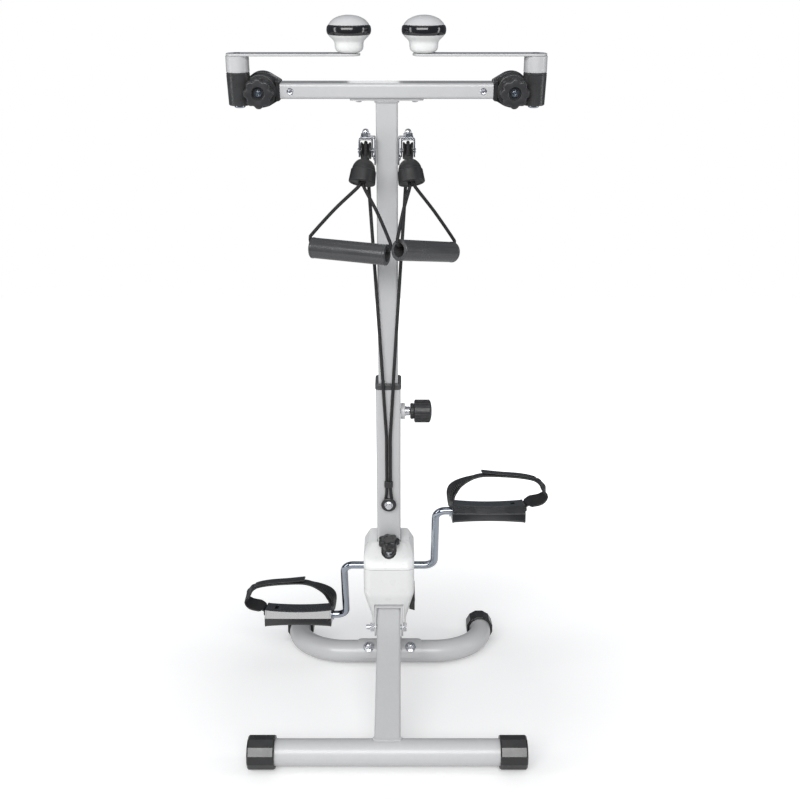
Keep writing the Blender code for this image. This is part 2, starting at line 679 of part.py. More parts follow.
def make_pedal(looks, side, sign, spindle):
    half_depth = PEDAL_DEPTH / 2
    half_thick = PEDAL_THICK / 2
    chamfer = 0.005
    outline = [
        (-half_depth, -half_thick + chamfer), (-half_depth + chamfer, -half_thick),
        (half_depth - chamfer, -half_thick), (half_depth, -half_thick + chamfer),
        (half_depth, half_thick - 0.002), (half_depth - 0.002, half_thick),
    ]
    for i in range(1, 8):
        t = 1 - i / 4
        outline.append(((half_depth - 0.002) * t, half_thick - PEDAL_DISH * (1 - t ** 4)))
    outline += [(-half_depth + 0.002, half_thick), (-half_depth, half_thick - 0.002)]
    near = sign * PEDAL_IN
    far = sign * (PEDAL_IN + PEDAL_LENGTH)
    turn = (PEDAL_TILT, 0, 0)
    pedal = add_object(f"{side}_pedal", prism(outline, "x", near, far), looks["black"], None, spindle, turn)
    bore_end = PEDAL_IN + PEDAL_LENGTH - 0.0045
    bore = bar(ROD_R + 2 * RUN, PEDAL_IN - 0.01, bore_end, 12, "+x" if sign > 0 else "-x")
    cut(pedal, add_tool(f"cut_pedal_{side}", bore, None, spindle, turn))

    # The strap's middle line: up from the pedal's inner end, over the foot and back under a bulge
    half_strap = STRAP_THICK / 2
    inner_x = PEDAL_IN - GAP - half_strap
    outer_x = PEDAL_IN + PEDAL_LENGTH + GAP
    top = STRAP_RISE - half_strap
    reach = STRAP_OUT - half_strap
    spindle_top = ROD_R + RUN * 4
    route = [
        (inner_x, 0, spindle_top), (inner_x, 0, half_thick), (inner_x + 0.010, 0, top * 0.66),
        (inner_x + 0.032, 0, top * 0.93), (inner_x + 0.062, 0, top), (reach - 0.052, 0, top * 0.96),
        (reach - 0.018, 0, top * 0.80), (reach - 0.001, 0, top * 0.52), (reach - 0.001, 0, top * 0.24),
        (reach - 0.012, 0, 0.002), (outer_x + 0.008, 0, -0.004), (outer_x, 0, -0.004),
    ]
    line = smooth_route(route, 0.011)
    above, below = [], []
    for i, point in enumerate(line):
        ahead = line[min(i + 1, len(line) - 1)] - line[max(i - 1, 0)]
        normal = Vector((-ahead.z, 0, ahead.x)).normalized() * half_strap
        above.append(point + normal)
        below.append(point - normal)
    outline = [(sign * p.x, p.z) for p in above + below[::-1]]
    strap = prism(outline, "y", -STRAP_WIDTH / 2, STRAP_WIDTH / 2)
    add_object(f"{side}_pedal_strap", strap, looks["rubber"], None, spindle, turn)


def housing_solid(inset, low_end):
    # The casing's outside, or its inside when inset by the wall
    rings = []
    top = HOUSING_LEVELS[-1][0]
    for level, (s, half_width, front) in enumerate(HOUSING_LEVELS):
        if level == 0:
            s = low_end
        if s == top:
            s -= inset
        width = half_width - inset
        ahead = front + inset * (1.0 if level < 4 else 1.5)
        back = HOUSING_BACK - inset
        front_corner = min(HOUSING_CORNER, width * 0.4, (back - ahead) * 0.3)
        back_corner = HOUSING_BACK_CORNER
        points = []
        for cx, cy, corner, start in (
            (width, back, back_corner, 0), (-width, back, back_corner, 90),
            (-width, ahead, front_corner, 180), (width, ahead, front_corner, 270),
        ):
            mx = cx - math.copysign(corner, cx)
            my = cy - corner if cy == back else cy + corner
            for x, y in arc((mx, my), corner, math.radians(start), math.radians(start + 90), 3):
                points.append((x, y, s))
        rings.append(points)
    return skin(rings)


def make_housing(looks, mast, leg):
    # The inside cut starts lower than the housing, so that its foot is open
    inside = housing_solid(HOUSING_WALL, HOUSING_FOOT_S - HOUSING_INSIDE_FOOT)
    inside = add_tool("cut_inside", inside, mast)
    seam_z = mast_to_world(0, AXLE_V, AXLE_S).z
    far = CUT_REACH
    above = box((-far, far), (-far, far), (seam_z - GAP / 2, seam_z + far))
    above = add_tool("cut_above_seam", above)
    below = box((-far, far), (-far, far), (seam_z - far, seam_z + GAP / 2))
    below = add_tool("cut_below_seam", below)
    axle_hole = bar(ROD_R + 3 * RUN, -far, far, 16, "+x")
    axle_hole = add_tool("cut_axle_hole", axle_hole, mast, (0, AXLE_V, AXLE_S))

    upper = add_object("housing_upper", housing_solid(0, HOUSING_FOOT_S), looks["white"], mast)
    cut(upper, inside)
    cut(upper, below)
    cut(upper, axle_hole)
    mast_half = OUTER_HALF + GAP
    mast_hole = box((-mast_half, mast_half), (-mast_half, mast_half), (AXLE_S, far))
    cut(upper, add_tool("cut_mast_hole", mast_hole, mast))
    slot = arc((0, AXLE_V), KNOB_SLOT_R, math.pi, math.tau, 12)
    slot += [(KNOB_SLOT_R, -OUTER_HALF + 0.002), (-KNOB_SLOT_R, -OUTER_HALF + 0.002)]
    cut(upper, add_tool("cut_knob_slot", prism(slot, "z", AXLE_S + SHELL_R / 2, far), mast))

    lower = add_object("housing_lower", housing_solid(0, HOUSING_FOOT_S), looks["white"], mast)
    cut(lower, inside)
    cut(lower, above)
    cut(lower, axle_hole)
    notch_half = LEG_WALL_OUT + GAP
    notch = box((-notch_half, notch_half), (-0.05, 0.070), (-0.08, WEB_TOP + 0.010))
    cut(lower, add_tool("cut_notch", notch, leg))

    # Counter box on the tapered part of the right side, with its button
    def side_at(s):
        (s0, w0, _), (s1, w1, _) = HOUSING_LEVELS[1:3]
        return w0 + (w1 - w0) * (s - s0) / (s1 - s0)

    low, high = COUNTER_S
    outline = [
        (side_at(low + 0.003) + GAP, low + 0.003), (COUNTER_FACE, low), (COUNTER_FACE, high - 0.001),
        (COUNTER_FACE - 0.0008, high), (side_at(high) + GAP, high),
    ]
    counter = add_object("counter", prism(outline, "y", *COUNTER_V), looks["black"], mast)
    middle = (COUNTER_V[0] + COUNTER_V[1]) / 2
    button_place = (0, middle, low + 0.008)
    well = bar(0.0035 + RUN, COUNTER_FACE - 0.0030, COUNTER_FACE + 0.01, 12, "+x")
    cut(counter, add_tool("cut_button", well, mast, button_place))
    button = bar(0.0035, COUNTER_FACE - 0.0015, COUNTER_FACE + 0.0008, 12, "+x")
    add_object("counter_button", button, looks["grey"], mast, button_place)


def make_top(looks, mast):
    plate_high = PLATE_LOW + PLATE_THICK
    plate = prism(rounded(2 * PLATE_HALF, PLATE_DEPTH, 0.006), "z", PLATE_LOW, plate_high)
    plate = add_object("t_bar_plate", plate, looks["silver"], mast)
    for side, sign in SIDES.items():
        profile = [
            (0, PLATE_LOW - 0.0030), (0.0030, PLATE_LOW - 0.0026), (0.0048, PLATE_LOW - 0.0012),
            (0.0048, PLATE_LOW + 0.001), (0, PLATE_LOW + 0.001),
        ]
        place = (sign * PLATE_BOLT_X, 0, 0)
        join(plate, add_tool(f"add_plate_bolt_{side}", turned(profile, 12), mast, place))
    rings = []
    hollow_depth = TBAR_DEPTH - 2 * MAST_WALL
    hollow_height = TBAR_HEIGHT - 2 * MAST_WALL
    for width, depth, corner, x in (
        (TBAR_DEPTH, TBAR_HEIGHT, 0.004, -TBAR_HALF), (TBAR_DEPTH, TBAR_HEIGHT, 0.004, TBAR_HALF),
        (hollow_depth, hollow_height, 0.0025, TBAR_HALF), (hollow_depth, hollow_height, 0.0025, -TBAR_HALF),
    ):
        rings.append([(x, y, z) for y, z in rounded(width, depth, corner)])
    add_object("t_bar", skin(rings, loop=True), looks["silver"], mast, (0, 0, PIVOT_S))
    for side, sign in SIDES.items():
        make_tilt_arm(looks, mast, side, sign)
        make_pulley(looks, mast, side, sign)


def make_tilt_arm(looks, mast, side, sign):
    pivot = (sign * PIVOT_X, 0, PIVOT_S)
    half_lap = 0.0004
    depth = TBAR_DEPTH / 2
    near = PIVOT_X - TBAR_HALF - GAP
    lap = math.asin(CLAMP_HALF_HEIGHT / CLAMP_R)
    outline = arc((0, 0), CLAMP_R, -math.pi + lap, math.pi - lap, 20)
    outline += [(-near, CLAMP_HALF_HEIGHT), (-near, -CLAMP_HALF_HEIGHT)]
    outline = [(sign * x, z) for x, z in outline]
    base = add_object(f"{side}_clamp_base", prism(outline, "y", half_lap, depth), looks["black"], mast, pivot)
    block_x = sorted((-sign * near, -sign * (near - CLAMP_BLOCK)))
    block = box(block_x, (-depth, half_lap + 0.003), (-CLAMP_HALF_HEIGHT, CLAMP_HALF_HEIGHT))
    join(base, add_tool(f"add_block_{side}", block, mast, pivot))
    tongue_x = sorted((-sign * (near + TONGUE), -sign * (near - 0.001)))
    tongue_depth = depth - MAST_WALL - GAP - 0.0003
    tongue_height = TBAR_HEIGHT / 2 - MAST_WALL - GAP - 0.0003
    tongue = prism(rounded(2 * tongue_depth, 2 * tongue_height, 0.0025), "x", *tongue_x)
    join(base, add_tool(f"add_tongue_{side}", tongue, mast, pivot))
    # The clamp's bolt is fixed in this half, with its head at the back, and the star knob runs on its end
    head = depth + GAP
    front = head + STAR_NECK
    end = front + STAR_THICK
    profile = [
        (0, -head - 0.0075), (0.0040, -head - 0.0075), (0.0072, -head - 0.0060), (0.0072, -head),
        (BOLT_R, -head + 0.001), (BOLT_R, end - 0.0035), (BOLT_R - 0.0008, end - 0.0025), (0, end - 0.0025),
    ]
    join(base, add_tool(f"add_pivot_bolt_{side}", turned(profile, 12, "-y"), mast, pivot))

    reach = SOCKET_X - PIVOT_X
    disc = aim(bar(TILT_DISC_R, half_lap, depth, 24), "-y")
    socket = add_object(f"{side}_arm_socket", disc, looks["black"], mast, pivot)
    profile = [
        (0, -SOCKET_BELOW), (SOCKET_FOOT_R, -SOCKET_BELOW), (SOCKET_R, SOCKET_ABOVE - 0.002),
        (SOCKET_R - 0.001, SOCKET_ABOVE), (0, SOCKET_ABOVE),
    ]
    column_place = (sign * SOCKET_X, SOCKET_V, PIVOT_S)
    join(socket, add_tool(f"add_column_{side}", turned(profile, 24), mast, column_place))
    spindle_hole = bar(SPINDLE_R + RUN, -0.05, 0.05, 16)
    cut(socket, add_tool(f"cut_spindle_{side}", spindle_hole, mast, column_place))
    cut(socket, add_tool(f"cut_pivot_{side}", bar(BOLT_R + RUN, -0.03, 0.03, 12, "+y"), mast, pivot))

    bore_r = BOLT_R + RUN
    rings = [
        star_ring(0.0125, 0, 8, head), star_ring(0.0125, 0, 8, front - 0.001),
        star_ring(0.0145, 0.001, 8, front), star_ring(0.0170, 0.002, 8, front + 0.003),
        star_ring(STAR_R, 0.004, 8, front + 0.0062), star_ring(STAR_R, 0.004, 8, end - 0.003),
        star_ring(STAR_R - 0.003, 0.003, 8, end), star_ring(0.0095, 0, 8, end),
        star_ring(0.0088, 0, 8, end - 0.006), star_ring(bore_r, 0, 8, end - 0.006),
        star_ring(bore_r, 0, 8, head),
    ]
    add_object(f"{side}_star_knob", aim(skin(rings, loop=True), "-y"), looks["black"], mast, pivot)

    # Hand crank: end screw, spindle, sleeve, flat arm and the knob's stub
    head_top = SOCKET_LOW - GAP
    profile = [
        (0, head_top - 0.0033), (0.0060, head_top - 0.0033), (0.0075, head_top - 0.0020), (0.0075, head_top),
        (SPINDLE_R, head_top), (SPINDLE_R, SOCKET_TOP + GAP), (SLEEVE_R, SOCKET_TOP + GAP),
        (SLEEVE_R, ARM_LOW + 0.0006), (0, ARM_LOW + 0.0006),
    ]
    crank_place = (sign * SOCKET_X, SOCKET_V, 0)
    crank = add_object(f"{side}_hand_crank", turned(profile, 20), looks["silver"], mast, crank_place)
    arm_run = SOCKET_X - KNOB_X
    outline = arc((0, 0), ARM_R, math.radians(-90), math.radians(90), 8)
    outline += arc((-arm_run, 0), ARM_R, math.radians(90), math.radians(270), 8)
    outline = [(sign * x, y) for x, y in outline]
    join(crank, add_tool(f"add_arm_{side}", prism(outline, "z", ARM_LOW, ARM_TOP), mast, crank_place))
    stub = bar(BOLT_R, ARM_LOW + 0.0012, ARM_TOP + KNOB_STUB, 12)
    knob_place = (sign * KNOB_X, SOCKET_V, 0)
    join(crank, add_tool(f"add_stub_{side}", stub, mast, knob_place))

    bore_r = BOLT_R + 1.5 * RUN
    bore_top = KNOB_STUB + 0.0007
    base_h = GAP
    profile = [
        (0, bore_top), (bore_r, bore_top), (bore_r, base_h), (0.0118, base_h), (0.0165, 0.0035),
        (0.0186, 0.0080), (0.0186, 0.0165), (0.0208, 0.0190), (0.0258, 0.0212), (0.0286, 0.0252),
        (0.0296, 0.0296), (0.0287, 0.0338), (0.0268, 0.0358), (0.0235, 0.0400), (0.0170, 0.0443),
        (0.0090, 0.0468), (0, 0.0476),
    ]
    place = (sign * KNOB_X, SOCKET_V, ARM_TOP)
    add_object(f"{side}_hand_knob", turned(profile, 24), looks["white"], mast, place)


def make_pulley(looks, mast, side, sign):
    leg_in = INNER_HALF + GAP
    leg_out = leg_in + HANGER_THICK
    low, high = HANGER_S
    arm_end = PULLEY_X + 0.011
    outline = [
        (leg_in, low), (leg_out, low), (leg_out, high - HANGER_THICK), (arm_end, high - HANGER_THICK),
        (arm_end, high), (leg_in, high),
    ]
    outline = [(sign * x, s) for x, s in outline]
    hanger = prism(outline, "y", PULLEY_V - 0.009, INNER_HALF - 0.007)
    hanger = add_object(f"{side}_pulley_hanger", hanger, looks["steel"], mast)
    place = (sign * PULLEY_X, PULLEY_V, 0)
    hole = bar(HANGER_STUD_R + GAP, high - 0.01, high + 0.01, 12)
    cut(hanger, add_tool(f"cut_hanger_{side}", hole, mast, place))

    clevis_out = CLEVIS_INNER + CLEVIS_WALL
    web_high = high - HANGER_THICK - GAP
    foot = PULLEY_S - 0.0078
    outline = [
        (-clevis_out, foot), (-CLEVIS_INNER, foot), (-CLEVIS_INNER, web_high - CLEVIS_WALL),
        (CLEVIS_INNER, web_high - CLEVIS_WALL), (CLEVIS_INNER, foot), (clevis_out, foot),
        (clevis_out, web_high), (-clevis_out, web_high),
    ]
    block = prism(outline, "y", -0.007, 0.007)
    block = add_object(f"{side}_pulley_block", block, looks["chrome"], mast, place)
    nut = high + GAP
    profile = [
        (0, web_high - 0.001), (HANGER_STUD_R, web_high - 0.001), (HANGER_STUD_R, nut), (0.0056, nut),
        (0.0056, nut + 0.0045), (0.0044, nut + 0.0080), (0.0022, nut + 0.0098), (0, nut + 0.0102),
    ]
    join(block, add_tool(f"add_dome_nut_{side}", turned(profile, 12), mast, place))
    pin = [
        (0, -clevis_out - 0.0012), (0.0036, -clevis_out - 0.0012), (0.0036, -clevis_out + 0.001),
        (WHEEL_PIN_R, -clevis_out + 0.001), (WHEEL_PIN_R, clevis_out - 0.001),
        (0.0036, clevis_out - 0.001), (0.0036, clevis_out + 0.0012), (0, clevis_out + 0.0012),
    ]
    wheel_place = (sign * PULLEY_X, PULLEY_V, PULLEY_S)
    join(block, add_tool(f"add_wheel_pin_{side}", turned(pin, 12, "+x"), mast, wheel_place))
    bore_r = WHEEL_PIN_R + RUN
    rim = WHEEL_HALF - 0.0013
    bead_r = WHEEL_GROOVE_R + 0.0006
    profile = [
        (bore_r, -WHEEL_HALF), (WHEEL_R, -WHEEL_HALF), (WHEEL_R, -rim), (bead_r, -0.0028),
        (WHEEL_GROOVE_R, -0.0014), (WHEEL_GROOVE_R, 0.0014), (bead_r, 0.0028), (WHEEL_R, rim),
        (WHEEL_R, WHEEL_HALF), (bore_r, WHEEL_HALF),
    ]
    add_object(f"{side}_pulley_wheel", turned(profile, 20, "+x", True), looks["black"], mast, wheel_place)


def pull_direction():
    # The way the cord leaves each pulley, in the mast's frame
    world = Vector((0, -math.sin(PULL_TILT), -math.cos(PULL_TILT)))
    return Matrix.Rotation(-MAST_LEAN, 3, "X") @ world


def make_elastic(looks, mast):
    run_v = -(COLLAR_SIZE / 2 + GAP + CORD_R)
    pull = pull_direction()
    collar_low = OUTER_TOP
    collar_top = OUTER_TOP + COLLAR_HEIGHT
    rise = collar_top - PULLEY_S
    run = run_v - PULLEY_V
    meet = math.atan2(rise, run) + math.acos(CORD_PITCH_R / math.hypot(rise, run))

    def on_wheel(angle):
        ahead = PULLEY_V + CORD_PITCH_R * math.cos(angle)
        return (-PULLEY_X, ahead, PULLEY_S + CORD_PITCH_R * math.sin(angle))

    front_angle = math.atan2(-pull.y, pull.z)
    while front_angle < 0:
        front_angle += math.pi
    start = Vector(on_wheel(front_angle)) + pull * (STOPPER_REACH - 2 * GAP)
    half = [start, start.lerp(Vector(on_wheel(front_angle)), 0.5)]
    for i in range(9):
        half.append(Vector(on_wheel(front_angle + (meet - front_angle) * i / 8)))
    top_rear = half[-1]
    lip = Vector((-COLLAR_CORD_X, run_v, collar_top))
    for i in range(1, 12):
        half.append(top_rear.lerp(lip, i / 12))
    half.append(lip)
    half.append(Vector((-COLLAR_CORD_X * 0.97, run_v, collar_low)))
    narrow = CORD_R + GAP
    loop_r = ANCHOR_BOLT_R + GAP + CORD_R
    clip = Vector((-narrow, run_v, CLIP_S + 0.006))
    for i in range(1, 5):
        half.append(half[23].lerp(clip, i / 5))
    half += [clip, Vector((-narrow, run_v, CLIP_S - 0.006))]
    half.append(Vector((-narrow * 1.25, run_v, ANCHOR_S + 0.018)))
    half.append(Vector((-loop_r * 0.93, run_v, ANCHOR_S + 0.007)))
    loop = [
        Vector((loop_r * math.cos(a), run_v, ANCHOR_S + loop_r * math.sin(a)))
        for a in (math.pi + math.pi * i / 8 for i in range(9))
    ]
    mirrored = [Vector((-p.x, p.y, p.z)) for p in half[::-1]]
    cord_object("elastic_cord", half + loop + mirrored, CORD_R, looks["cord"], mast)

    disc_in = -run_v + CORD_R + GAP
    profile = [
        (0, OUTER_HALF - 0.0025), (ANCHOR_BOLT_R, OUTER_HALF - 0.0025), (ANCHOR_BOLT_R, disc_in),
        (ANCHOR_DISC_R, disc_in), (ANCHOR_DISC_R, disc_in + 0.002), (ANCHOR_DISC_R - 0.001, disc_in + 0.003),
        (0.0062, disc_in + 0.003), (0.0062, disc_in + 0.0078), (0.0050, disc_in + 0.0085),
        (0, disc_in + 0.0085),
    ]
    add_object("cord_anchor", turned(profile, 18, "-y"), looks["black"], mast, (0, 0, ANCHOR_S))
    return Vector(on_wheel(front_angle)) + pull * STOPPER_REACH


def make_handles(looks, stopper_top):
    # stopper_top is the left stopper's top in the mast's frame
    for side, sign in SIDES.items():
        top = mast_to_world(sign * -stopper_top.x, stopper_top.y, stopper_top.z)
        axis = Vector((sign * math.tan(STOPPER_SPLAY), -math.sin(PULL_TILT), -math.cos(PULL_TILT)))
        axis.normalize()
        turn = Vector((0, 0, 1)).rotation_difference(axis).to_euler()
        profile = [
            (0, 0), (0.0042, 0), (0.0062, 0.0022), (0.0085, 0.0060), (0.0128, 0.0110), (0.0160, 0.0175),
            (0.0174, 0.0250), (STOPPER_R, 0.0345), (STOPPER_R - 0.0006, STOPPER_LENGTH), (0, STOPPER_LENGTH),
        ]
        add_object(f"{side}_cord_stopper", turned(profile, 20), looks["rubber"], None, top, turn)

        grip = GRIPS[side]
        centre = Vector(grip["centre"])
        yaw, dip = grip["yaw"], grip["dip"]
        along = Vector((math.cos(yaw) * math.cos(dip), math.sin(yaw) * math.cos(dip), -math.sin(dip)))
        grip_turn = Vector((0, 0, 1)).rotation_difference(along).to_euler()
        half = GRIP_LENGTH / 2
        profile = [
            (GRIP_BORE_R, -half), (GRIP_R - 0.001, -half), (GRIP_R, -half + 0.001), (GRIP_R, half - 0.001),
            (GRIP_R - 0.001, half), (GRIP_BORE_R, half),
        ]
        grip_solid = turned(profile, 20, "+z", True)
        add_object(f"{side}_handle_grip", grip_solid, looks["black"], None, centre, grip_turn)

        bottom = top + axis * (STOPPER_LENGTH + GAP)
        across = (Vector((1, 0, 0)) - axis * axis.x).normalized()
        upward = (Vector((0, 0, 1)) - along * along.z).normalized()
        inside = GRIP_BORE_R - STRAP_CORD_R - 3 * GAP
        clear = STRAP_CORD_R + 0.004
        route = []
        for end in (-1, 1):
            exit_point = bottom + across * end * 0.0034
            mouth = centre + along * end * half
            stretch = [
                exit_point, exit_point + axis * 0.006,
                mouth + along * end * (clear - 0.001) + upward * (GRIP_R + 0.006),
                mouth + along * end * clear + upward * (GRIP_R - 0.002),
                mouth + along * end * (clear - 0.0015) + upward * (inside + 0.001),
                mouth + along * end * 0.001 + upward * (inside - 0.0008),
                mouth - along * end * 0.008 + upward * inside,
            ]
            route += stretch if end < 0 else stretch[::-1]
        cord_object(f"{side}_handle_strap", smooth_route(route, 0.009), STRAP_CORD_R, looks["cord"])


def main():
    clear_scene()
    looks = {
        "silver": make_look("silver_paint", (0.62, 0.63, 0.65), 0.6, 0.35),
        "chrome": make_look("chrome", (0.80, 0.81, 0.83), 1.0, 0.12),
        "steel": make_look("steel", (0.60, 0.60, 0.62), 1.0, 0.35),
        "bronze": make_look("bronze", (0.55, 0.42, 0.25), 1.0, 0.35),
        "black": make_look("black_plastic", (0.025, 0.025, 0.028), 0.0, 0.40),
        "grey": make_look("grey_plastic", (0.35, 0.36, 0.38), 0.0, 0.45),
        "white": make_look("white_plastic", (0.82, 0.82, 0.83), 0.0, 0.35),
        "rubber": make_look("black_rubber", (0.030, 0.030, 0.032), 0.0, 0.60),
        "cord": make_look("black_cord", (0.020, 0.020, 0.022), 0.0, 0.80),
    }
    mast = make_frame("mast_frame", MAST_FOOT, MAST_LEAN)
    leg = make_frame("leg_frame", LEG_BOLT, LEG_SLOPE)
    bolt_hole = make_base(looks, leg)
    make_bracket(looks, leg, bolt_hole)
    make_mast(looks, mast)
    make_drive(looks, mast)
    make_housing(looks, mast, leg)
    make_top(looks, mast)
    stopper_top = make_elastic(looks, mast)
    make_handles(looks, stopper_top)


main()
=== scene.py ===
import math

import bmesh
import bpy
from mathutils import Matrix, Vector


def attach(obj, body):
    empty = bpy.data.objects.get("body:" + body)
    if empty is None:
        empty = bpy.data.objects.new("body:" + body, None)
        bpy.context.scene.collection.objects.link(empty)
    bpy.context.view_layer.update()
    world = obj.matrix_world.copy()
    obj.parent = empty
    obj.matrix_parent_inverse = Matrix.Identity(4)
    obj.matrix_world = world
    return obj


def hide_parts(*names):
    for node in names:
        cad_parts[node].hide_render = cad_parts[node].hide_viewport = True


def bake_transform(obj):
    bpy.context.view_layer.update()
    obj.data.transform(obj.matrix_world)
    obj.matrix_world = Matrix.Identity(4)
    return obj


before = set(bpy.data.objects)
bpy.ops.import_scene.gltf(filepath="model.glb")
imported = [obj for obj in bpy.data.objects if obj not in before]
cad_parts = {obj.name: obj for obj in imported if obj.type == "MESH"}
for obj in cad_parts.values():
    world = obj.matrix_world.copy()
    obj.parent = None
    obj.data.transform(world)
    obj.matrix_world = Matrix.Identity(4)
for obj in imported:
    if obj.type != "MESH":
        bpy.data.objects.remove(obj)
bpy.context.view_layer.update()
print("frame loaded")


def move(x, y, z):
    return Matrix.Translation((x, y, z))


def lean(degrees, axis="X"):
    return Matrix.Rotation(math.radians(degrees), 4, axis)


# The two slanted directions everything hangs on: the mast, and the front leg from its bolt
mastLean = 12
mastMatrix = move(0, 0.1084, 0.045) @ lean(mastLean)
legMatrix = move(0, 0.0152, 0.113) @ lean(21.8)
pivotS = 0.92105  # the tilt clamps' height along the mast
sides = {"left": -1, "right": 1}
outward = {-1: "-x", 1: "+x"}


def onMast(x, v, s):
    return mastMatrix @ Vector((x, v, s))


# ---- small shape helpers, all in bmesh


def wire(points):
    bm = bmesh.new()
    verts = [bm.verts.new(p) for p in points]
    for pair in zip(verts, verts[1:]):
        bm.edges.new(pair)
    return bm


def soften(profile, radius, steps=3):
    # rounds the inner corners of a radius and height profile
    result = [Vector(profile[0])]
    for before, corner, after in zip(profile, profile[1:], profile[2:]):
        before, corner, after = Vector(before), Vector(corner), Vector(after)
        back, ahead = before - corner, after - corner
        reach = min(radius, back.length * 0.45, ahead.length * 0.45)
        start, stop = corner + back.normalized() * reach, corner + ahead.normalized() * reach
        for i in range(steps + 1):
            t = i / steps
            result.append(start * (1 - t) ** 2 + corner * 2 * t * (1 - t) + stop * t * t)
    return [tuple(p) for p in result + [Vector(profile[-1])]]


def lathe(profile, steps=48, closed=False, soft=0.0, bends=3):
    # radius and height pairs turned round +Z
    bm = wire([(r, 0, h) for r, h in (soften(profile, soft, bends) if soft else profile)])
    if closed:
        bm.verts.ensure_lookup_table()
        bm.edges.new((bm.verts[-1], bm.verts[0]))
    bmesh.ops.spin(bm, geom=bm.verts[:] + bm.edges[:], axis=(0, 0, 1), cent=(0, 0, 0), dvec=(0, 0, 0), angle=math.tau,
        steps=steps, use_merge=True)
    bmesh.ops.remove_doubles(bm, verts=bm.verts, dist=1e-06)
    return bm


def rod(radius, low, high, steps):
    return lathe([(0, low), (radius, low), (radius, high), (0, high)], steps)


def washer(inner, outer, low, high):
    return lathe([(inner, low), (outer - 0.0003, low), (outer, low + 0.0003), (outer, high - 0.0003),
        (outer - 0.0003, high), (inner, high)], 40, True)


def skin(rings, loop=False):
    bm = bmesh.new()
    rows = [[bm.verts.new(p) for p in ring] for ring in rings]
    pairs = list(zip(rows, rows[1:]))
    if loop:
        pairs.append((rows[-1], rows[0]))
    for low, high in pairs:
        count = max(len(low), len(high))
        for i in range(count):
            j = (i + 1) % count
            if len(low) == 1:
                bm.faces.new((low[0], high[j], high[i]))
            elif len(high) == 1:
                bm.faces.new((low[i], low[j], high[0]))
            else:
                bm.faces.new((low[i], low[j], high[j], high[i]))
    if not loop:
        for row in (rows[0], rows[-1]):
            if len(row) > 1:
                bm.faces.new(row)
    return bm


def prism(outline, axis, low, high):
    at = "xyz".index(axis)
    return skin([[(*p[:at], h, *p[at:]) for p in outline] for h in (low, high)])


def box(x, y, z):
    return prism([(x[0], y[0]), (x[1], y[0]), (x[1], y[1]), (x[0], y[1])], "z", *z)


def arc(centre, radius, start, stop, steps):
    return [(centre[0] + radius * math.cos(start + (stop - start) * i / steps),
        centre[1] + radius * math.sin(start + (stop - start) * i / steps)) for i in range(steps + 1)]


def rounded(width, depth, radius, steps=6):
    points = []
    for quarter, (sx, sy) in enumerate(((1, 1), (-1, 1), (-1, -1), (1, -1))):
        points += arc((sx * (width / 2 - radius), sy * (depth / 2 - radius)), radius, quarter * math.pi / 2,
            (quarter + 1) * math.pi / 2, steps)
    return points


def seamLine(width, corner, steps):
    outline = rounded(width, width, corner, steps)
    return outline + outline[:1]


def squareRings(rows, steps=6, loop=True):
    # rounded rectangles as width, depth, corner and height
    return skin([[(x, y, h) for x, y in rounded(w, d, c, steps)] for w, d, c, h in rows], loop)


def squareTube(width, wall, corner, low, high):
    lip, inner = 0.0003, width - 2 * wall
    return squareRings([(w, w, c, h) for w, c, h in ((width - lip, corner, low), (width, corner, low + lip),
        (width, corner, high - lip), (width - lip, corner, high), (inner, corner - wall, high),
        (inner, corner - wall, low))])


def starRing(radius, depth, lobes, height, perLobe, sharp=1.0):
    ring = []
    for i in range(lobes * perLobe):
        a = math.tau * i / (lobes * perLobe)
        reach = radius - depth * (0.5 - 0.5 * math.cos(lobes * a)) ** sharp
        ring.append((reach * math.cos(a), reach * math.sin(a), height))
    return ring


def hexNut(across, height, lift=0.0, chamfer=0.0007):
    # a six-sided nut with its corners turned down at both ends
    rings = []
    for h, shrink in ((0, chamfer), (chamfer * 0.6, 0), (height - chamfer * 0.6, 0), (height, chamfer)):
        ring = []
        for i in range(24):
            a = math.tau * i / 24
            reach = min(across / 2 / math.cos(a % (math.pi / 3) - math.pi / 6), across / 2 * 1.1547 - shrink)
            ring.append((reach * math.cos(a), reach * math.sin(a), h + lift))
        rings.append(ring)
    return skin(rings)


def filleted(corners, radius, steps):
    points = [Vector(corners[0])]
    for before, corner, after in zip(corners, corners[1:], corners[2:]):
        corner = Vector(corner)
        back, ahead = (Vector(before) - corner).normalized(), (Vector(after) - corner).normalized()
        half = back.angle(ahead) / 2
        centre = corner + (back + ahead).normalized() * radius / math.sin(half)
        start = corner + back * radius / math.tan(half) - centre
        stop = corner + ahead * radius / math.tan(half) - centre
        for i in range(steps + 1):
            points.append(centre + Matrix.Rotation(start.angle(stop) * i / steps, 3, start.cross(stop)) @ start)
    return points + [Vector(corners[-1])]


def smoothRoute(points, spacing):
    route = [Vector(p) for p in points]
    route = [route[0] * 2 - route[1]] + route + [route[-1] * 2 - route[-2]]
    samples = []
    for p0, p1, p2, p3 in zip(route, route[1:], route[2:], route[3:]):
        count = max(1, round((p2 - p1).length / spacing))
        for i in range(count):
            t = i / count
            samples.append(0.5 * (2 * p1 + (p2 - p0) * t + (2 * p0 - 5 * p1 + 4 * p2 - p3) * t * t
                + (3 * p1 - p0 - 3 * p2 + p3) * t ** 3))
    return samples + [route[-2]]


def tangentAt(path, i):
    return (path[min(i + 1, len(path) - 1)] - path[max(i - 1, 0)]).normalized()


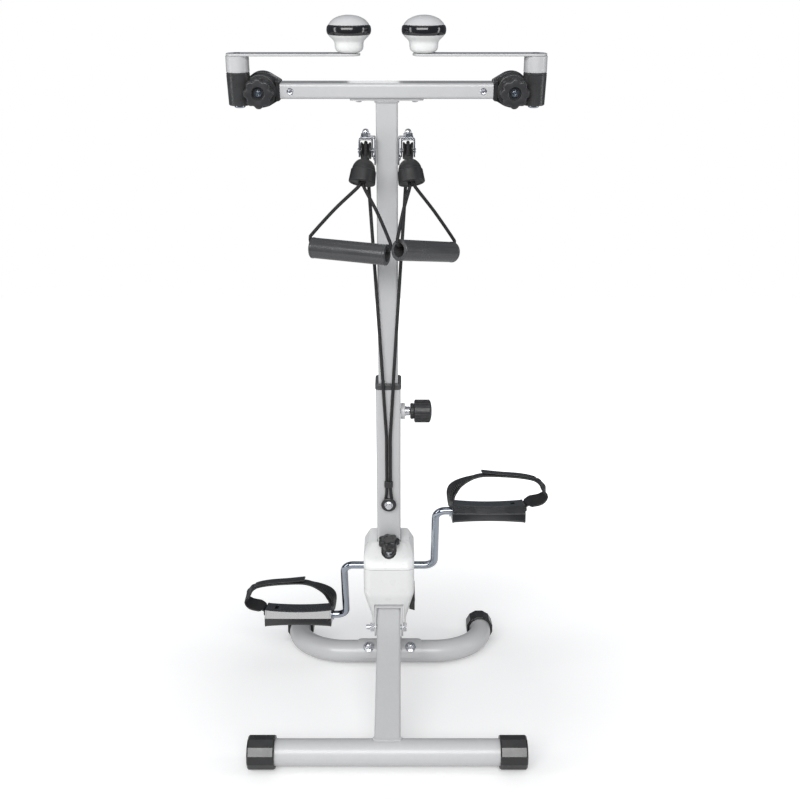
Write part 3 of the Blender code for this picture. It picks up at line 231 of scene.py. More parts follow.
def addRunUv(bm, path, spots, wrap=0.0):
    # UV in metres: u runs with the length, v is the spot of a ring's vertex, and wrap a full turn
    uv = bm.loops.layers.uv.new("run")
    run = [0.0]
    for a, b in zip(path, path[1:]):
        run.append(run[-1] + (b - a).length)
    bm.verts.index_update()
    for face in bm.faces:
        turns = [loop.vert.index % len(spots) for loop in face.loops]
        wraps = max(turns) - min(turns) > 1
        for loop, turn in zip(face.loops, turns):
            row = min(loop.vert.index // len(spots), len(run) - 1)
            loop[uv].uv = (run[row], spots[turn] + (wrap if wraps and turn == 0 else 0))
    return bm


def tube(path, radius, count, uv=False):
    # rings square to a path, carried along it without twist
    rings, across = [], None
    for i, point in enumerate(path):
        tangent = tangentAt(path, i)
        across = across or tangent.orthogonal().normalized()
        across = (across - tangent * across.dot(tangent)).normalized()
        other = tangent.cross(across)
        rings.append([point + radius * (math.cos(math.tau * k / count) * across + math.sin(math.tau * k / count)
            * other) for k in range(count)])
    around = math.tau * radius
    bm = skin(rings)
    return addRunUv(bm, path, [k / count * around for k in range(count)], around) if uv else bm


def ribbon(path, sideways, width, thick, corner):
    # a flat band along a path; sideways gives its width direction at each point
    outline, rows = rounded(width, thick, corner, 3), []
    for i, point in enumerate(path):
        tangent = tangentAt(path, i)
        across = (sideways[i] - tangent * sideways[i].dot(tangent)).normalized()
        up = across.cross(tangent)
        rows.append([point + across * a + up * b for a, b in outline])
    return addRunUv(skin(rows), path, [a for a, b in outline])


def place(bm, matrix):
    bmesh.ops.transform(bm, matrix=matrix, verts=bm.verts)
    return bm


def pointing(bm, axis):
    turns = {"+x": lean(90, "Y"), "-x": lean(-90, "Y"), "+y": lean(-90), "-y": lean(90)}
    return place(bm, turns[axis])


def facing(vector):
    return Vector((0, 0, 1)).rotation_difference(vector).to_matrix().to_4x4()


def merged(*parts):
    # several closed shells as one mesh
    whole = bmesh.new()
    for part in parts:
        mesh = bpy.data.meshes.new("part")
        bmesh.ops.recalc_face_normals(part, faces=part.faces)
        part.to_mesh(mesh)
        part.free()
        whole.from_mesh(mesh)
        bpy.data.meshes.remove(mesh)
    return whole


def newObject(name, bm, fix=True):
    if fix:
        bmesh.ops.recalc_face_normals(bm, faces=bm.faces)
    mesh = bpy.data.meshes.new(name)
    bm.to_mesh(mesh)
    bm.free()
    obj = bpy.data.objects.new(name, mesh)
    bpy.context.collection.objects.link(obj)
    return obj


def settle(obj):
    # turns an object's live modifiers into plain mesh
    depsgraph = bpy.context.evaluated_depsgraph_get()
    mesh = bpy.data.meshes.new_from_object(obj.evaluated_get(depsgraph))
    obj.modifiers.clear()
    obj.data = mesh


def addStep(obj, kind, **settings):
    step = obj.modifiers.new("step", kind)
    for key, value in settings.items():
        setattr(step, key, value)
    return step


def makeCutter(bm, matrix=Matrix()):
    return newObject("cutter", place(bm, matrix))


def drop(*objs):
    for obj in objs:
        bpy.data.objects.remove(obj)


def makePiece(name, look, body, bm, matrix=Matrix(), node="", bevel=0.0, angle=35, cutters=(), fix=True):
    obj = newObject(name, place(bm, matrix), fix)
    for cutter in cutters:
        addStep(obj, "BOOLEAN", operation="DIFFERENCE", solver="EXACT", object=cutter)
    if bevel:
        addStep(obj, "BEVEL", width=bevel, segments=3, limit_method="ANGLE", angle_limit=math.radians(angle))
    if cutters or bevel:
        settle(obj)
    obj.data.shade_smooth()
    obj.data.set_sharp_from_angle(angle=math.radians(angle))
    # large flat faces keep their own normal beside narrow rounded edges
    addStep(obj, "WEIGHTED_NORMAL", mode="FACE_AREA", weight=50, keep_sharp=True)
    settle(obj)
    obj.data.materials.clear()
    obj.data.materials.append(looks[look])
    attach(obj, body)
    if node:
        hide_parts(node)
    return obj


def softCopy(name, node, look, body, width, angle):
    # a CAD node's own shape with its edges broken
    bm = bmesh.new()
    bm.from_mesh(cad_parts[node].data)
    bmesh.ops.remove_doubles(bm, verts=bm.verts, dist=2e-06)
    bmesh.ops.dissolve_limit(bm, angle_limit=math.radians(2), verts=bm.verts, edges=bm.edges)
    return makePiece(name, look, body, bm, node=node, bevel=width, angle=angle)


# ---- geometry nodes for what repeats round an axis or along a path


def addNode(tree, kind, values=None, **settings):
    node = tree.nodes.new(kind)
    for key, value in settings.items():
        setattr(node, key, value)
    for key, value in (values or {}).items():
        if isinstance(value, bpy.types.NodeSocket):
            tree.links.new(value, node.inputs[key])
        else:
            node.inputs[key].default_value = value
    return node


def port(tree, kind, values=None, end=0, **settings):
    return addNode(tree, kind, values, **settings).outputs[end]


def calc(tree, operation, *values):
    return port(tree, "ShaderNodeMath", dict(enumerate(values)), operation=operation)


def remap(tree, value, low, high, toLow=0.0, toHigh=1.0):
    return port(tree, "ShaderNodeMapRange", {"Value": value, "From Min": low, "From Max": high, "To Min": toLow,
        "To Max": toHigh})


def newTree(name, kind, inputs, outputs):
    tree = bpy.data.node_groups.new(name, kind)
    for label, socketKind, value in inputs:
        socket = tree.interface.new_socket(label, in_out="INPUT", socket_type="NodeSocket" + socketKind)
        if value is not None:
            socket.default_value = value
    for label, socketKind in outputs:
        tree.interface.new_socket(label, in_out="OUTPUT", socket_type="NodeSocket" + socketKind)
    return tree, tree.nodes.new("NodeGroupInput").outputs, tree.nodes.new("NodeGroupOutput").inputs


def makeGrowTree(name, extra, scatter):
    tree, given, result = newTree(name, "GeometryNodeTree", [("Geometry", "Geometry", None), ("Item", "Object", None),
        ("Material", "Material", None), ("Count", "Int", 12), *extra], [("Geometry", "Geometry")])
    points, rotation, core = scatter(tree, given)
    item = port(tree, "GeometryNodeObjectInfo", {"Object": given["Item"]}, "Geometry")
    joined = port(tree, "GeometryNodeInstanceOnPoints", {"Points": points, "Rotation": rotation, "Instance": item})
    if core:
        both = addNode(tree, "GeometryNodeJoinGeometry")
        tree.links.new(joined, both.inputs[0])
        tree.links.new(core, both.inputs[0])
        joined = both.outputs[0]
    real = port(tree, "GeometryNodeRealizeInstances", {0: joined})
    painted = port(tree, "GeometryNodeSetMaterial", {"Geometry": real, "Material": given["Material"]})
    tree.links.new(painted, result[0])
    return tree


def ringScatter(tree, given):
    # round +Z, each copy with its +X outward, and the core kept
    circle = port(tree, "GeometryNodeMeshCircle", {"Vertices": given["Count"], "Radius": given["Radius"]})
    lift = port(tree, "ShaderNodeCombineXYZ", {"Z": given["Height"]})
    moved = port(tree, "GeometryNodeTransform", {"Geometry": circle, "Translation": lift})
    parts = addNode(tree, "ShaderNodeSeparateXYZ", {0: port(tree, "GeometryNodeInputPosition")}).outputs
    spin = port(tree, "ShaderNodeCombineXYZ", {"Z": calc(tree, "ARCTAN2", parts["Y"], parts["X"])})
    return moved, port(tree, "FunctionNodeEulerToRotation", {0: spin}), given["Geometry"]


def pathScatter(tree, given):
    # along the loose edges of the core, each copy with +X along the path and +Y towards Side
    curve = port(tree, "GeometryNodeMeshToCurve", {"Mesh": given["Geometry"]})
    points = addNode(tree, "GeometryNodeCurveToPoints", {"Curve": curve, "Count": given["Count"]}).outputs
    align = "FunctionNodeAlignRotationToVector"
    along = port(tree, align, {"Vector": points["Tangent"]}, axis="X")
    turned = port(tree, align, {"Rotation": along, "Vector": given["Side"]}, axis="Y", pivot_axis="X")
    return points["Points"], turned, None


ringTree = makeGrowTree("aroundAxis", [("Radius", "Float", 0.01), ("Height", "Float", 0.0)], ringScatter)
pathTree = makeGrowTree("alongPath", [("Side", "Vector", (0, 1, 0))], pathScatter)


def grow(tree, core, item, look, **values):
    # runs a tree on a core mesh and gives back the plain result
    coreObj, itemObj = newObject("core", core, False), makeCutter(item)
    step = addStep(coreObj, "NODES", node_group=tree)
    values.update(Item=itemObj, Material=looks[look])
    for socket in tree.interface.items_tree:
        if socket.in_out == "INPUT" and socket.name in values:
            step[socket.identifier] = values[socket.name]
    settle(coreObj)
    result = bmesh.new()
    result.from_mesh(coreObj.data)
    drop(coreObj, itemObj)
    return result


def weldLoop(points, radius, count):
    # small overlapping beads along a line
    bead = bmesh.new()
    bmesh.ops.create_uvsphere(bead, u_segments=8, v_segments=5, radius=radius)
    for v in bead.verts:
        v.co.x *= 0.8
    return grow(pathTree, wire(points), bead, "weld", Count=count, Side=(0, 0, 1))


# ---- stage: camera, plain pale floor and studio light

view = {"lens": 45, "sensor": 36, "place": (0.018, -1.506, 0.8155), "tilt": 78}
# each lamp's place, target, size and power
lamps = {
    "key": ((-0.4, -2.65, 1.72), (0, 0, 0.45), (2.9, 1.25), 73),
    "left": ((-2.1, -0.7, 1.2), (0, 0, 0.5), (0.4, 1.8), 9),
    "right": ((2.2, -0.4, 1.1), (0, 0, 0.5), (0.35, 1.7), 8),
    "top": ((0, -0.2, 2.8), (0, 0, 0.5), (1.6, 1.2), 3),
    "rim": ((-0.07, 1.9, 1.64), (0, 0, 0.95), (0.17, 0.3), 0.19)}


def makeStage():
    camera = bpy.data.objects.new("camera", bpy.data.cameras.new("camera"))
    camera.data.lens, camera.data.sensor_width = view["lens"], view["sensor"]
    camera.location, camera.rotation_euler = view["place"], (math.radians(view["tilt"]), 0, 0)
    bpy.context.scene.camera = camera
    bpy.context.scene.view_settings.view_transform = "Standard"
    staged = [camera]
    for name, (spot, target, size, power) in lamps.items():
        lamp = bpy.data.lights.new(name, "AREA")
        lamp.shape, lamp.size, lamp.size_y, lamp.energy = "RECTANGLE", *size, power
        obj = bpy.data.objects.new(name, lamp)
        obj.location = spot
        obj.rotation_euler = (Vector(target) - Vector(spot)).to_track_quat("-Z", "Y").to_euler()
        staged.append(obj)
    for obj in staged:
        bpy.context.collection.objects.link(obj)
    floor = newObject("floor", box((-4, 4), (-1.05, 6), (-0.02, -0.0001)), False)
    floor.data.materials.append(makeFloorLook())
    world = bpy.data.worlds.new("studio")
    bpy.context.scene.world = world
    world.use_nodes = True
    world.node_tree.nodes.clear()
    fillWorld(world.node_tree)


def fillWorld(tree):
    # dim in reflections, for dark stripes in chrome, and an even light on what is matt
    def background(colour, strength):
        return port(tree, "ShaderNodeBackground", {"Color": (*colour, 1), "Strength": strength})

    rays = addNode(tree, "ShaderNodeLightPath").outputs
    pick = port(tree, "ShaderNodeMixShader", {0: rays["Is Glossy Ray"], 1: background((0.95, 0.97, 1.0), 0.37),
        2: background((0.78, 0.87, 1.0), 0.12)})
    pick = port(tree, "ShaderNodeMixShader", {0: rays["Is Camera Ray"], 1: pick, 2: background((1, 1, 1), 1.0)})
    addNode(tree, "ShaderNodeOutputWorld", {"Surface": pick})


def makeFloorLook():
    look = bpy.data.materials.new("floorLook")
    look.use_nodes = True
    tree = look.node_tree
    tree.nodes.clear()
    tone = port(tree, "ShaderNodeMix", {0: port(tree, "ShaderNodeTexNoise", {"Scale": 5.0}), "A": (0.8, 0.8, 0.8, 1),
        "B": (0.82, 0.82, 0.82, 1)}, "Result", data_type="RGBA")
    plain = port(tree, "ShaderNodeBsdfDiffuse", {"Color": tone})
    # the lamps fade with distance and the paper must not
    away = port(tree, "ShaderNodeVectorMath", {0: port(tree, "ShaderNodeTexCoord", end="Object")}, "Value",
        operation="LENGTH")
    lift = port(tree, "ShaderNodeEmission", {"Color": (1, 1, 1, 1), "Strength": remap(tree, away, 0.25, 1.35, 0.25)})
    both = port(tree, "ShaderNodeAddShader", {0: plain, 1: lift})
    seen = port(tree, "ShaderNodeLightPath", end="Is Camera Ray")
    addNode(tree, "ShaderNodeOutputMaterial", {"Surface": port(tree, "ShaderNodeMixShader",
        {0: seen, 1: plain, 2: both})})
    return look


makeStage()
print("stage set")

# ---- materials


def noise(tree, given, scale, detail):
    return port(tree, "ShaderNodeTexNoise", {"Vector": given["Vector"], "Scale": scale, "Detail": detail})


def grainNodes(tree, given):
    # fine surface grain with a slow drift in tone
    slow = calc(tree, "MULTIPLY", given["Scale"], 0.05)
    return noise(tree, given, given["Scale"], 4.0), noise(tree, given, slow, 3.0)


def wearNodes(tree, given):
    # paint or polish rubbed off the outer edges
    edge = remap(tree, port(tree, "ShaderNodeNewGeometry", end="Pointiness"), 0.53, 0.62)
    patch = remap(tree, noise(tree, given, 180.0, 5.0), 0.42, 0.72)
    return calc(tree, "MULTIPLY", calc(tree, "MULTIPLY", edge, patch), given["Amount"]),


def dustNodes(tree, given):
    # thin dust on what faces up
    up = port(tree, "ShaderNodeSeparateXYZ", {0: port(tree, "ShaderNodeNewGeometry", end="Normal")}, "Z")
    mask = calc(tree, "MULTIPLY", remap(tree, up, 0.35, 1.0), noise(tree, given, 60.0, 6.0))
    return calc(tree, "MULTIPLY", mask, given["Amount"]),


def flakeNodes(tree, given):
    # flat flakes in metallic paint, each with its own brightness
    cells = port(tree, "ShaderNodeTexVoronoi", {"Vector": given["Vector"], "Scale": given["Scale"]}, "Color")
    return port(tree, "ShaderNodeSeparateColor", {0: cells}),


def braidNodes(tree, given):
    # crossed strands from a run UV in metres, for bump and for the painted sheen on their crests
    parts = addNode(tree, "ShaderNodeSeparateXYZ", {0: given["Vector"]}).outputs
    waves = []
    for operation in ("ADD", "SUBTRACT"):
        angle = calc(tree, "DIVIDE", calc(tree, operation, parts["X"], parts["Y"]), given["Pitch"])
        waves.append(calc(tree, "ABSOLUTE", calc(tree, "SINE", calc(tree, "MULTIPLY", angle, math.pi))))
    return calc(tree, "MULTIPLY", *waves),


def lineNodes(tree, given):
    # long fine lines along u with faint cross ribs, for bump and for the painted reflection streaks
    parts = addNode(tree, "ShaderNodeSeparateXYZ", {0: given["Vector"]}).outputs
    moved = {"X": calc(tree, "MULTIPLY", parts["X"], given["Along"]),
        "Y": calc(tree, "MULTIPLY", parts["Y"], given["Across"])}
    return noise(tree, {"Vector": port(tree, "ShaderNodeCombineXYZ", moved)}, 1.0, 3.0),


def makeGroup(name, inputs, outputs, build):
    tree, given, result = newTree(name, "ShaderNodeTree", [("Vector", "Vector", None)] + [(key, "Float", value)
        for key, value in inputs.items()], [(key, "Float") for key in outputs])
    for key, socket in zip(outputs, build(tree, given)):
        tree.links.new(socket, result[key])
    return tree


shaderGroups = {
    "grain": makeGroup("fineGrain", {"Scale": 400.0}, ("Height", "Drift"), grainNodes),
    "wear": makeGroup("edgeWear", {"Amount": 0.5}, ("Mask",), wearNodes),
    "dust": makeGroup("settledDust", {"Amount": 0.2}, ("Mask",), dustNodes),
    "flakes": makeGroup("paintFlakes", {"Scale": 2600.0}, ("Shade",), flakeNodes),
    "braid": makeGroup("braidedStrands", {"Pitch": 0.0016}, ("Height",), braidNodes),
    "lines": makeGroup("lengthwiseLines", {"Across": 1800.0, "Along": 40.0}, ("Height",), lineNodes)}


def makeLook(name, colour, metallic, roughness, drift=0.06, roughSpan=0.1, grain=420.0, depth=2e-05, coat=0.0,
        coatRough=0.1, wear=0.0, wearColour=(0.4, 0.4, 0.4), dust=0.1, pattern=None, patternDepth=0.0, flakes=0.0,
        coatIor=1.5, shine=0.5, **scale):
    look = bpy.data.materials.new(name)
    look.use_nodes = True
    tree = look.node_tree
    coords = port(tree, "ShaderNodeTexCoord", end="Object")

    def group(key, **values):
        return addNode(tree, "ShaderNodeGroup", values, node_tree=shaderGroups[key]).outputs

    def shaded(share):
        return *(min(1, c * share) for c in colour), 1

    def blend(factor, a, b):
        return port(tree, "ShaderNodeMix", {0: factor, 6: a, 7: b}, 2, data_type="RGBA")

    surface = group("grain", Vector=coords, Scale=grain)
    tone = blend(surface["Drift"], shaded(1 - drift), shaded(1 + drift))
    rough = remap(tree, surface["Drift"], 0.3, 0.7, max(0.02, roughness - roughSpan), roughness + roughSpan)
    height = calc(tree, "MULTIPLY", surface["Height"], depth)
    if flakes:
        shade = group("flakes", Vector=coords)["Shade"]
        tone = blend(calc(tree, "MULTIPLY", shade, flakes), tone, (0.95, 0.96, 0.98, 1))
    if wear:
        mask = group("wear", Vector=coords, Amount=wear)["Mask"]
        tone = blend(mask, tone, (*wearColour, 1))
        rough = calc(tree, "ADD", rough, calc(tree, "MULTIPLY", mask, 0.2))
    if dust:
        mask = group("dust", Vector=coords, Amount=dust)["Mask"]
        tone = blend(mask, tone, (0.45, 0.45, 0.44, 1))
        rough = calc(tree, "ADD", rough, mask)
    if pattern:
        shape = group(pattern, Vector=port(tree, "ShaderNodeUVMap", uv_map="run"), **scale)["Height"]
        height = calc(tree, "ADD", height, calc(tree, "MULTIPLY", shape, patternDepth))
        # the pattern's raised crests are also painted lighter: painted sheen on the braid's strands and the strap's
        # lines, and painted reflection streaks on the grip
        tone = blend(calc(tree, "MULTIPLY", shape, 0.6), tone, (*(min(1, c * 1.9 + 0.02) for c in colour), 1))
    bump = port(tree, "ShaderNodeBump", {"Height": height, "Distance": 1.0, "Strength": 1.0})
    inputs = tree.nodes["Principled BSDF"].inputs
    for key, socket in (("Base Color", tone), ("Roughness", rough), ("Normal", bump)):
        tree.links.new(socket, inputs[key])
    for key, value in (("Metallic", metallic), ("Coat Weight", coat), ("Coat Roughness", coatRough),
            ("Coat IOR", coatIor), ("Specular IOR Level", shine)):
        inputs[key].default_value = value
    return look


metalWear = (0.78, 0.78, 0.8)
looks = {
    "silver": makeLook("silverPaint", (0.54, 0.54, 0.545), 0.12, 0.5, 0.015, 0.03, 900.0, 6e-06, 1.0, 0.12, 0.06,
        metalWear, 0.03, flakes=0.08, coatIor=1.29),
    "chrome": makeLook("chrome", (0.46, 0.5, 0.56), 1.0, 0.07, 0.02, 0.04, 260.0, 1.5e-06, dust=0.03),
    "bright": makeLook("brightPlate", (0.74, 0.75, 0.78), 1.0, 0.24, 0.02, 0.05, 400.0, 3e-06, dust=0.03),
    "zinc": makeLook("zincPlate", (0.66, 0.67, 0.69), 1.0, 0.26, 0.06, 0.08, 500.0, 6e-06, wear=0.2,
        wearColour=(0.8, 0.8, 0.82)),
    "steel": makeLook("bareSteel", (0.52, 0.52, 0.54), 1.0, 0.34, 0.08, 0.1, 500.0, 1e-05),
    "bronze": makeLook("bronze", (0.5, 0.36, 0.2), 1.0, 0.36, 0.1, 0.1, 500.0, 1e-05),
    "black": makeLook("blackPlastic", (0.021, 0.021, 0.022), 0.0, 0.3, 0.15, 0.08, 1400.0, 1.2e-05, 0.12, 0.3, 0.3,
        (0.1, 0.1, 0.1), 0.05),
    "charcoal": makeLook("charcoalPlastic", (0.03, 0.03, 0.032), 0.0, 0.36, 0.12, 0.08, 1500.0, 1e-05, 0.0, 0.3, 0.3,
        (0.14, 0.14, 0.14), 0.05),
    "pedal": makeLook("pedalPlastic", (0.016, 0.016, 0.017), 0.0, 0.12, 0.12, 0.02, 1500.0, 3e-06, 0.0, 0.3, 0.2,
        (0.14, 0.14, 0.14), 0.06, shine=1.0),
    "cap": makeLook("capPlastic", (0.013, 0.013, 0.014), 0.0, 0.22, 0.12, 0.04, 1100.0, 6e-06, 0.0, 0.3, 0.3,
        (0.14, 0.14, 0.14), 0.06, shine=0.7),
    "socket": makeLook("socketPlastic", (0.04, 0.04, 0.041), 0.0, 0.32, 0.12, 0.08, 1400.0, 1.2e-05, 0.12, 0.3, 0.3,
        (0.12, 0.12, 0.12), 0.05),
    "collar": makeLook("collarPlastic", (0.065, 0.065, 0.067), 0.0, 0.36, 0.12, 0.06, 1300.0, 1e-05, 0.0, 0.3, 0.3,
        (0.16, 0.16, 0.16), 0.05),
    "gloss": makeLook("glossBlack", (0.012, 0.012, 0.014), 0.0, 0.14, 0.1, 0.04, 700.0, 3e-06, 0.6, 0.05, dust=0.02),
    "grey": makeLook("greyPlastic", (0.3, 0.31, 0.33), 0.0, 0.42, 0.06, 0.08, 1200.0, 1.2e-05),
    "white": makeLook("whitePlastic", (0.81, 0.81, 0.805), 0.0, 0.3, 0.015, 0.05, 1100.0, 7e-06, 0.2, 0.12,
        dust=0.04),
    # a darker copy of the white plastic for the hand knobs' domes: painted shade
    "shadedWhite": makeLook("whiteDomeShaded", (0.56, 0.56, 0.57), 0.0, 0.3, 0.02, 0.05, 1100.0, 5e-06, 0.2, 0.12, 0.1,
        (0.66, 0.66, 0.64), 0.04),
    "rubber": makeLook("darkRubber", (0.017, 0.017, 0.018), 0.0, 0.52, 0.15, 0.1, 1300.0, 2.5e-05, wear=0.25,
        wearColour=(0.12, 0.12, 0.12), dust=0.1),
    "strap": makeLook("strapRubber", (0.009, 0.009, 0.01), 0.0, 0.36, 0.12, 0.1, 1200.0, 1e-05, 0.0, 0.2, 0.4,
        (0.13, 0.13, 0.13), 0.06, "lines", 8e-05, Across=1500.0, Along=60.0),
    "cord": makeLook("braidedCord", (0.007, 0.007, 0.008), 0.0, 0.5, 0.15, 0.1, 2200.0, 3e-05, dust=0.06,
        pattern="braid", patternDepth=0.00035, Pitch=0.0021),
    # the grip's lengthwise lines come out lighter in colour: painted reflection streaks
    "grip": makeLook("gripPlastic", (0.04, 0.04, 0.042), 0.0, 0.24, 0.12, 0.07, 900.0, 8e-06, 0.25, 0.2, 0.3,
        (0.16, 0.16, 0.16), 0.05, "lines", 6e-05, Across=900.0, Along=12.0),
    "window": makeLook("darkWindow", (0.008, 0.01, 0.012), 0.0, 0.08, 0.1, 0.03, 300.0, 1e-06, 1.0, 0.03, dust=0.0),
    "weld": makeLook("paintedWeld", (0.55, 0.55, 0.555), 0.12, 0.5, 0.06, 0.08, 700.0, 3e-05, 0.5, 0.2, dust=0.08,
        flakes=0.08)}
print("materials made")

# ---- base

base = {"frontY": -0.2083, "tubeZ": 0.0235, "tubeR": 0.019, "capR": 0.0235, "seatR": 0.0193, "inCap": 0.0033,
    "frontHalf": 0.1995, "frontCap": 0.039, "rearHalf": 0.164, "rearBend": 0.0878, "barY": 0.112, "rearEnd": 0.2318,
    "rearCap": 0.032}


weldLine = (0.0388, 0.0044)  # width and corner of the line round a 38 mm square tube


def endCap(length):
    r, cup = base["capR"] / math.cos(math.pi / 12), base["seatR"] / math.cos(math.pi / 12)
    bm = lathe([(0, length - 0.0004), (r - 0.0052, length - 0.0004), (r - 0.0048, length), (r - 0.0022, length),
        (r, length - 0.0022), (r, 0.0018), (r - 0.001, 0), (cup, 0), (cup, length - 0.003), (0, length - 0.003)], 12)
    return place(bm, Matrix.Rotation(math.pi / 12, 4, "Z"))


def buildBase():
    y, z, r = base["frontY"], base["tubeZ"], base["tubeR"]
    half = base["frontHalf"] - base["inCap"]
    pipe = lathe([(r - 0.0015, -half), (r, -half), (r, half), (r - 0.0015, half)], 64, True)
    makePiece("frontTube", "silver", "stand", pointing(pipe, "+x"), move(0, y, z), node="front_stabilizer")
    for side, sign in sides.items():
        cap = pointing(endCap(base["frontCap"]), outward[sign])
        makePiece(side + "FrontCap", "cap", "stand", cap, move(sign * (base["frontHalf"] - base["frontCap"]), y, z),
            node="front_cap_" + side, bevel=0.0005, angle=15)
        cap = pointing(endCap(base["rearCap"]), "+y")
        makePiece(side + "RearCap", "cap", "stand", cap, move(sign * base["rearHalf"],
            base["rearEnd"] - base["rearCap"], z), node="rear_cap_" + side, bevel=0.0005, angle=15)
    end = base["rearEnd"] - base["inCap"]
    path = filleted([(-base["rearHalf"], end, z), (-base["rearHalf"], base["barY"], z),
        (base["rearHalf"], base["barY"], z), (base["rearHalf"], end, z)], base["rearBend"], 24)
    makePiece("rearTube", "silver", "stand", tube(path, r, 48), node="rear_stabilizer")

    # saddle plate: sections round the tube, narrowed at both ends for its rounded corners
    plate = {"half": 0.055, "outer": 0.0223, "low": -7, "high": 100, "corner": 0.008}
    run = math.radians(plate["high"] - plate["low"]) * plate["outer"]
    sections = []
    for i in range(49):
        t = 0.5 - 0.5 * math.cos(math.pi * i / 48)
        near = min(t * run, (1 - t) * run)
        width = plate["half"]
        if near < plate["corner"]:
            width -= plate["corner"] - math.sqrt(plate["corner"] ** 2 - (plate["corner"] - near) ** 2)
        a = math.pi - math.radians(plate["low"] + (plate["high"] - plate["low"]) * t)
        sections.append([(x, rad * math.cos(a), rad * math.sin(a)) for x,
            rad in ((-width, base["seatR"]), (width, base["seatR"]), (width, plate["outer"]),
            (-width, plate["outer"]))])
    makePiece("saddlePlate", "silver", "stand", skin(sections), move(0, base["barY"], z), node="saddle_plate",
        bevel=0.0007, angle=40)
    bolt = {"x": 0.036, "tilt": 48, "seat": 0.0226}
    for side, sign in sides.items():
        seat = bolt["seat"]
        dome = lathe([(0, seat + 0.003), (0.0057, seat + 0.0064), (0.0053, seat + 0.0098), (0.0036, seat + 0.0128),
            (0, seat + 0.0142)], 36, soft=0.002, bends=5)
        nut = hexNut(0.0126, 0.0065, seat + 0.0018)
        shank = lathe([(0, -0.0235), (0.006, -0.0235), (0.0065, -0.023), (0.0065, -0.0193), (0.004, -0.0193),
            (0.004, seat + 0.004), (0, seat + 0.004)], 28)
        parts = merged(dome, nut, washer(0.0042, 0.009, seat, seat + 0.0017), shank)
        matrix = move(sign * bolt["x"], base["barY"], z) @ lean(bolt["tilt"])
        makePiece(side + "SaddleBolt", "bright", "stand", parts, matrix, node="saddle_bolt_" + side)


def buildLeg():
    leg = {"reach": 0.24075, "width": 0.038, "wall": 0.0015, "end": 0.048, "bracket": 0.0237}
    post = pointing(squareTube(leg["width"], leg["wall"], 0.004, -leg["end"], leg["reach"]), "-y")
    notch = makeCutter(pointing(rod(base["seatR"], -0.05, 0.05, 96), "+x"), move(0, base["frontY"], base["tubeZ"]))
    makePiece("frontPost", "silver", "stand", post, legMatrix, node="front_post", cutters=(notch,))
    drop(notch)
    # weld where the post meets the tube
    line = []
    for x, p in seamLine(*weldLine, 10):
        p = max(-0.0188, min(0.0188, p))
        line.append((x, -leg["reach"] + math.sqrt(0.0197 ** 2 - p ** 2), p))
    makePiece("postWeld", "weld", "stand", weldLoop(line, 0.0019, 96), legMatrix)
    softCopy("legBracket", "leg_bracket", "silver", "stand", 0.0007, 40)
    # through bolt: its head, nut, washer and shank
    wall = leg["bracket"]
    head = hexNut(0.0126, 0.0042, wall + 0.0008)
    nut = hexNut(0.0126, 0.0062, wall + 0.0003)
    disc = washer(0.004, 0.0076, wall, wall + 0.0009)
    shank = lathe([(0, -wall - 0.0132), (0.004, -wall - 0.0132), (0.004, wall + 0.002), (0, wall + 0.002)], 24,
        soft=0.0008)
    bolt = merged(pointing(head, "+x"), pointing(nut, "-x"), pointing(disc, "+x"), pointing(shank, "+x"))
    makePiece("legBolt", "bright", "stand", bolt, legMatrix, node="leg_bolt")


# ---- mast

mast = {"outer": 0.038, "inner": 0.03, "wall": 0.0015, "outerTop": 0.4828, "innerLow": 0.34, "innerTop": 0.9072,
    "pinS": 0.4388, "pitch": 0.025, "collar": 0.0095}


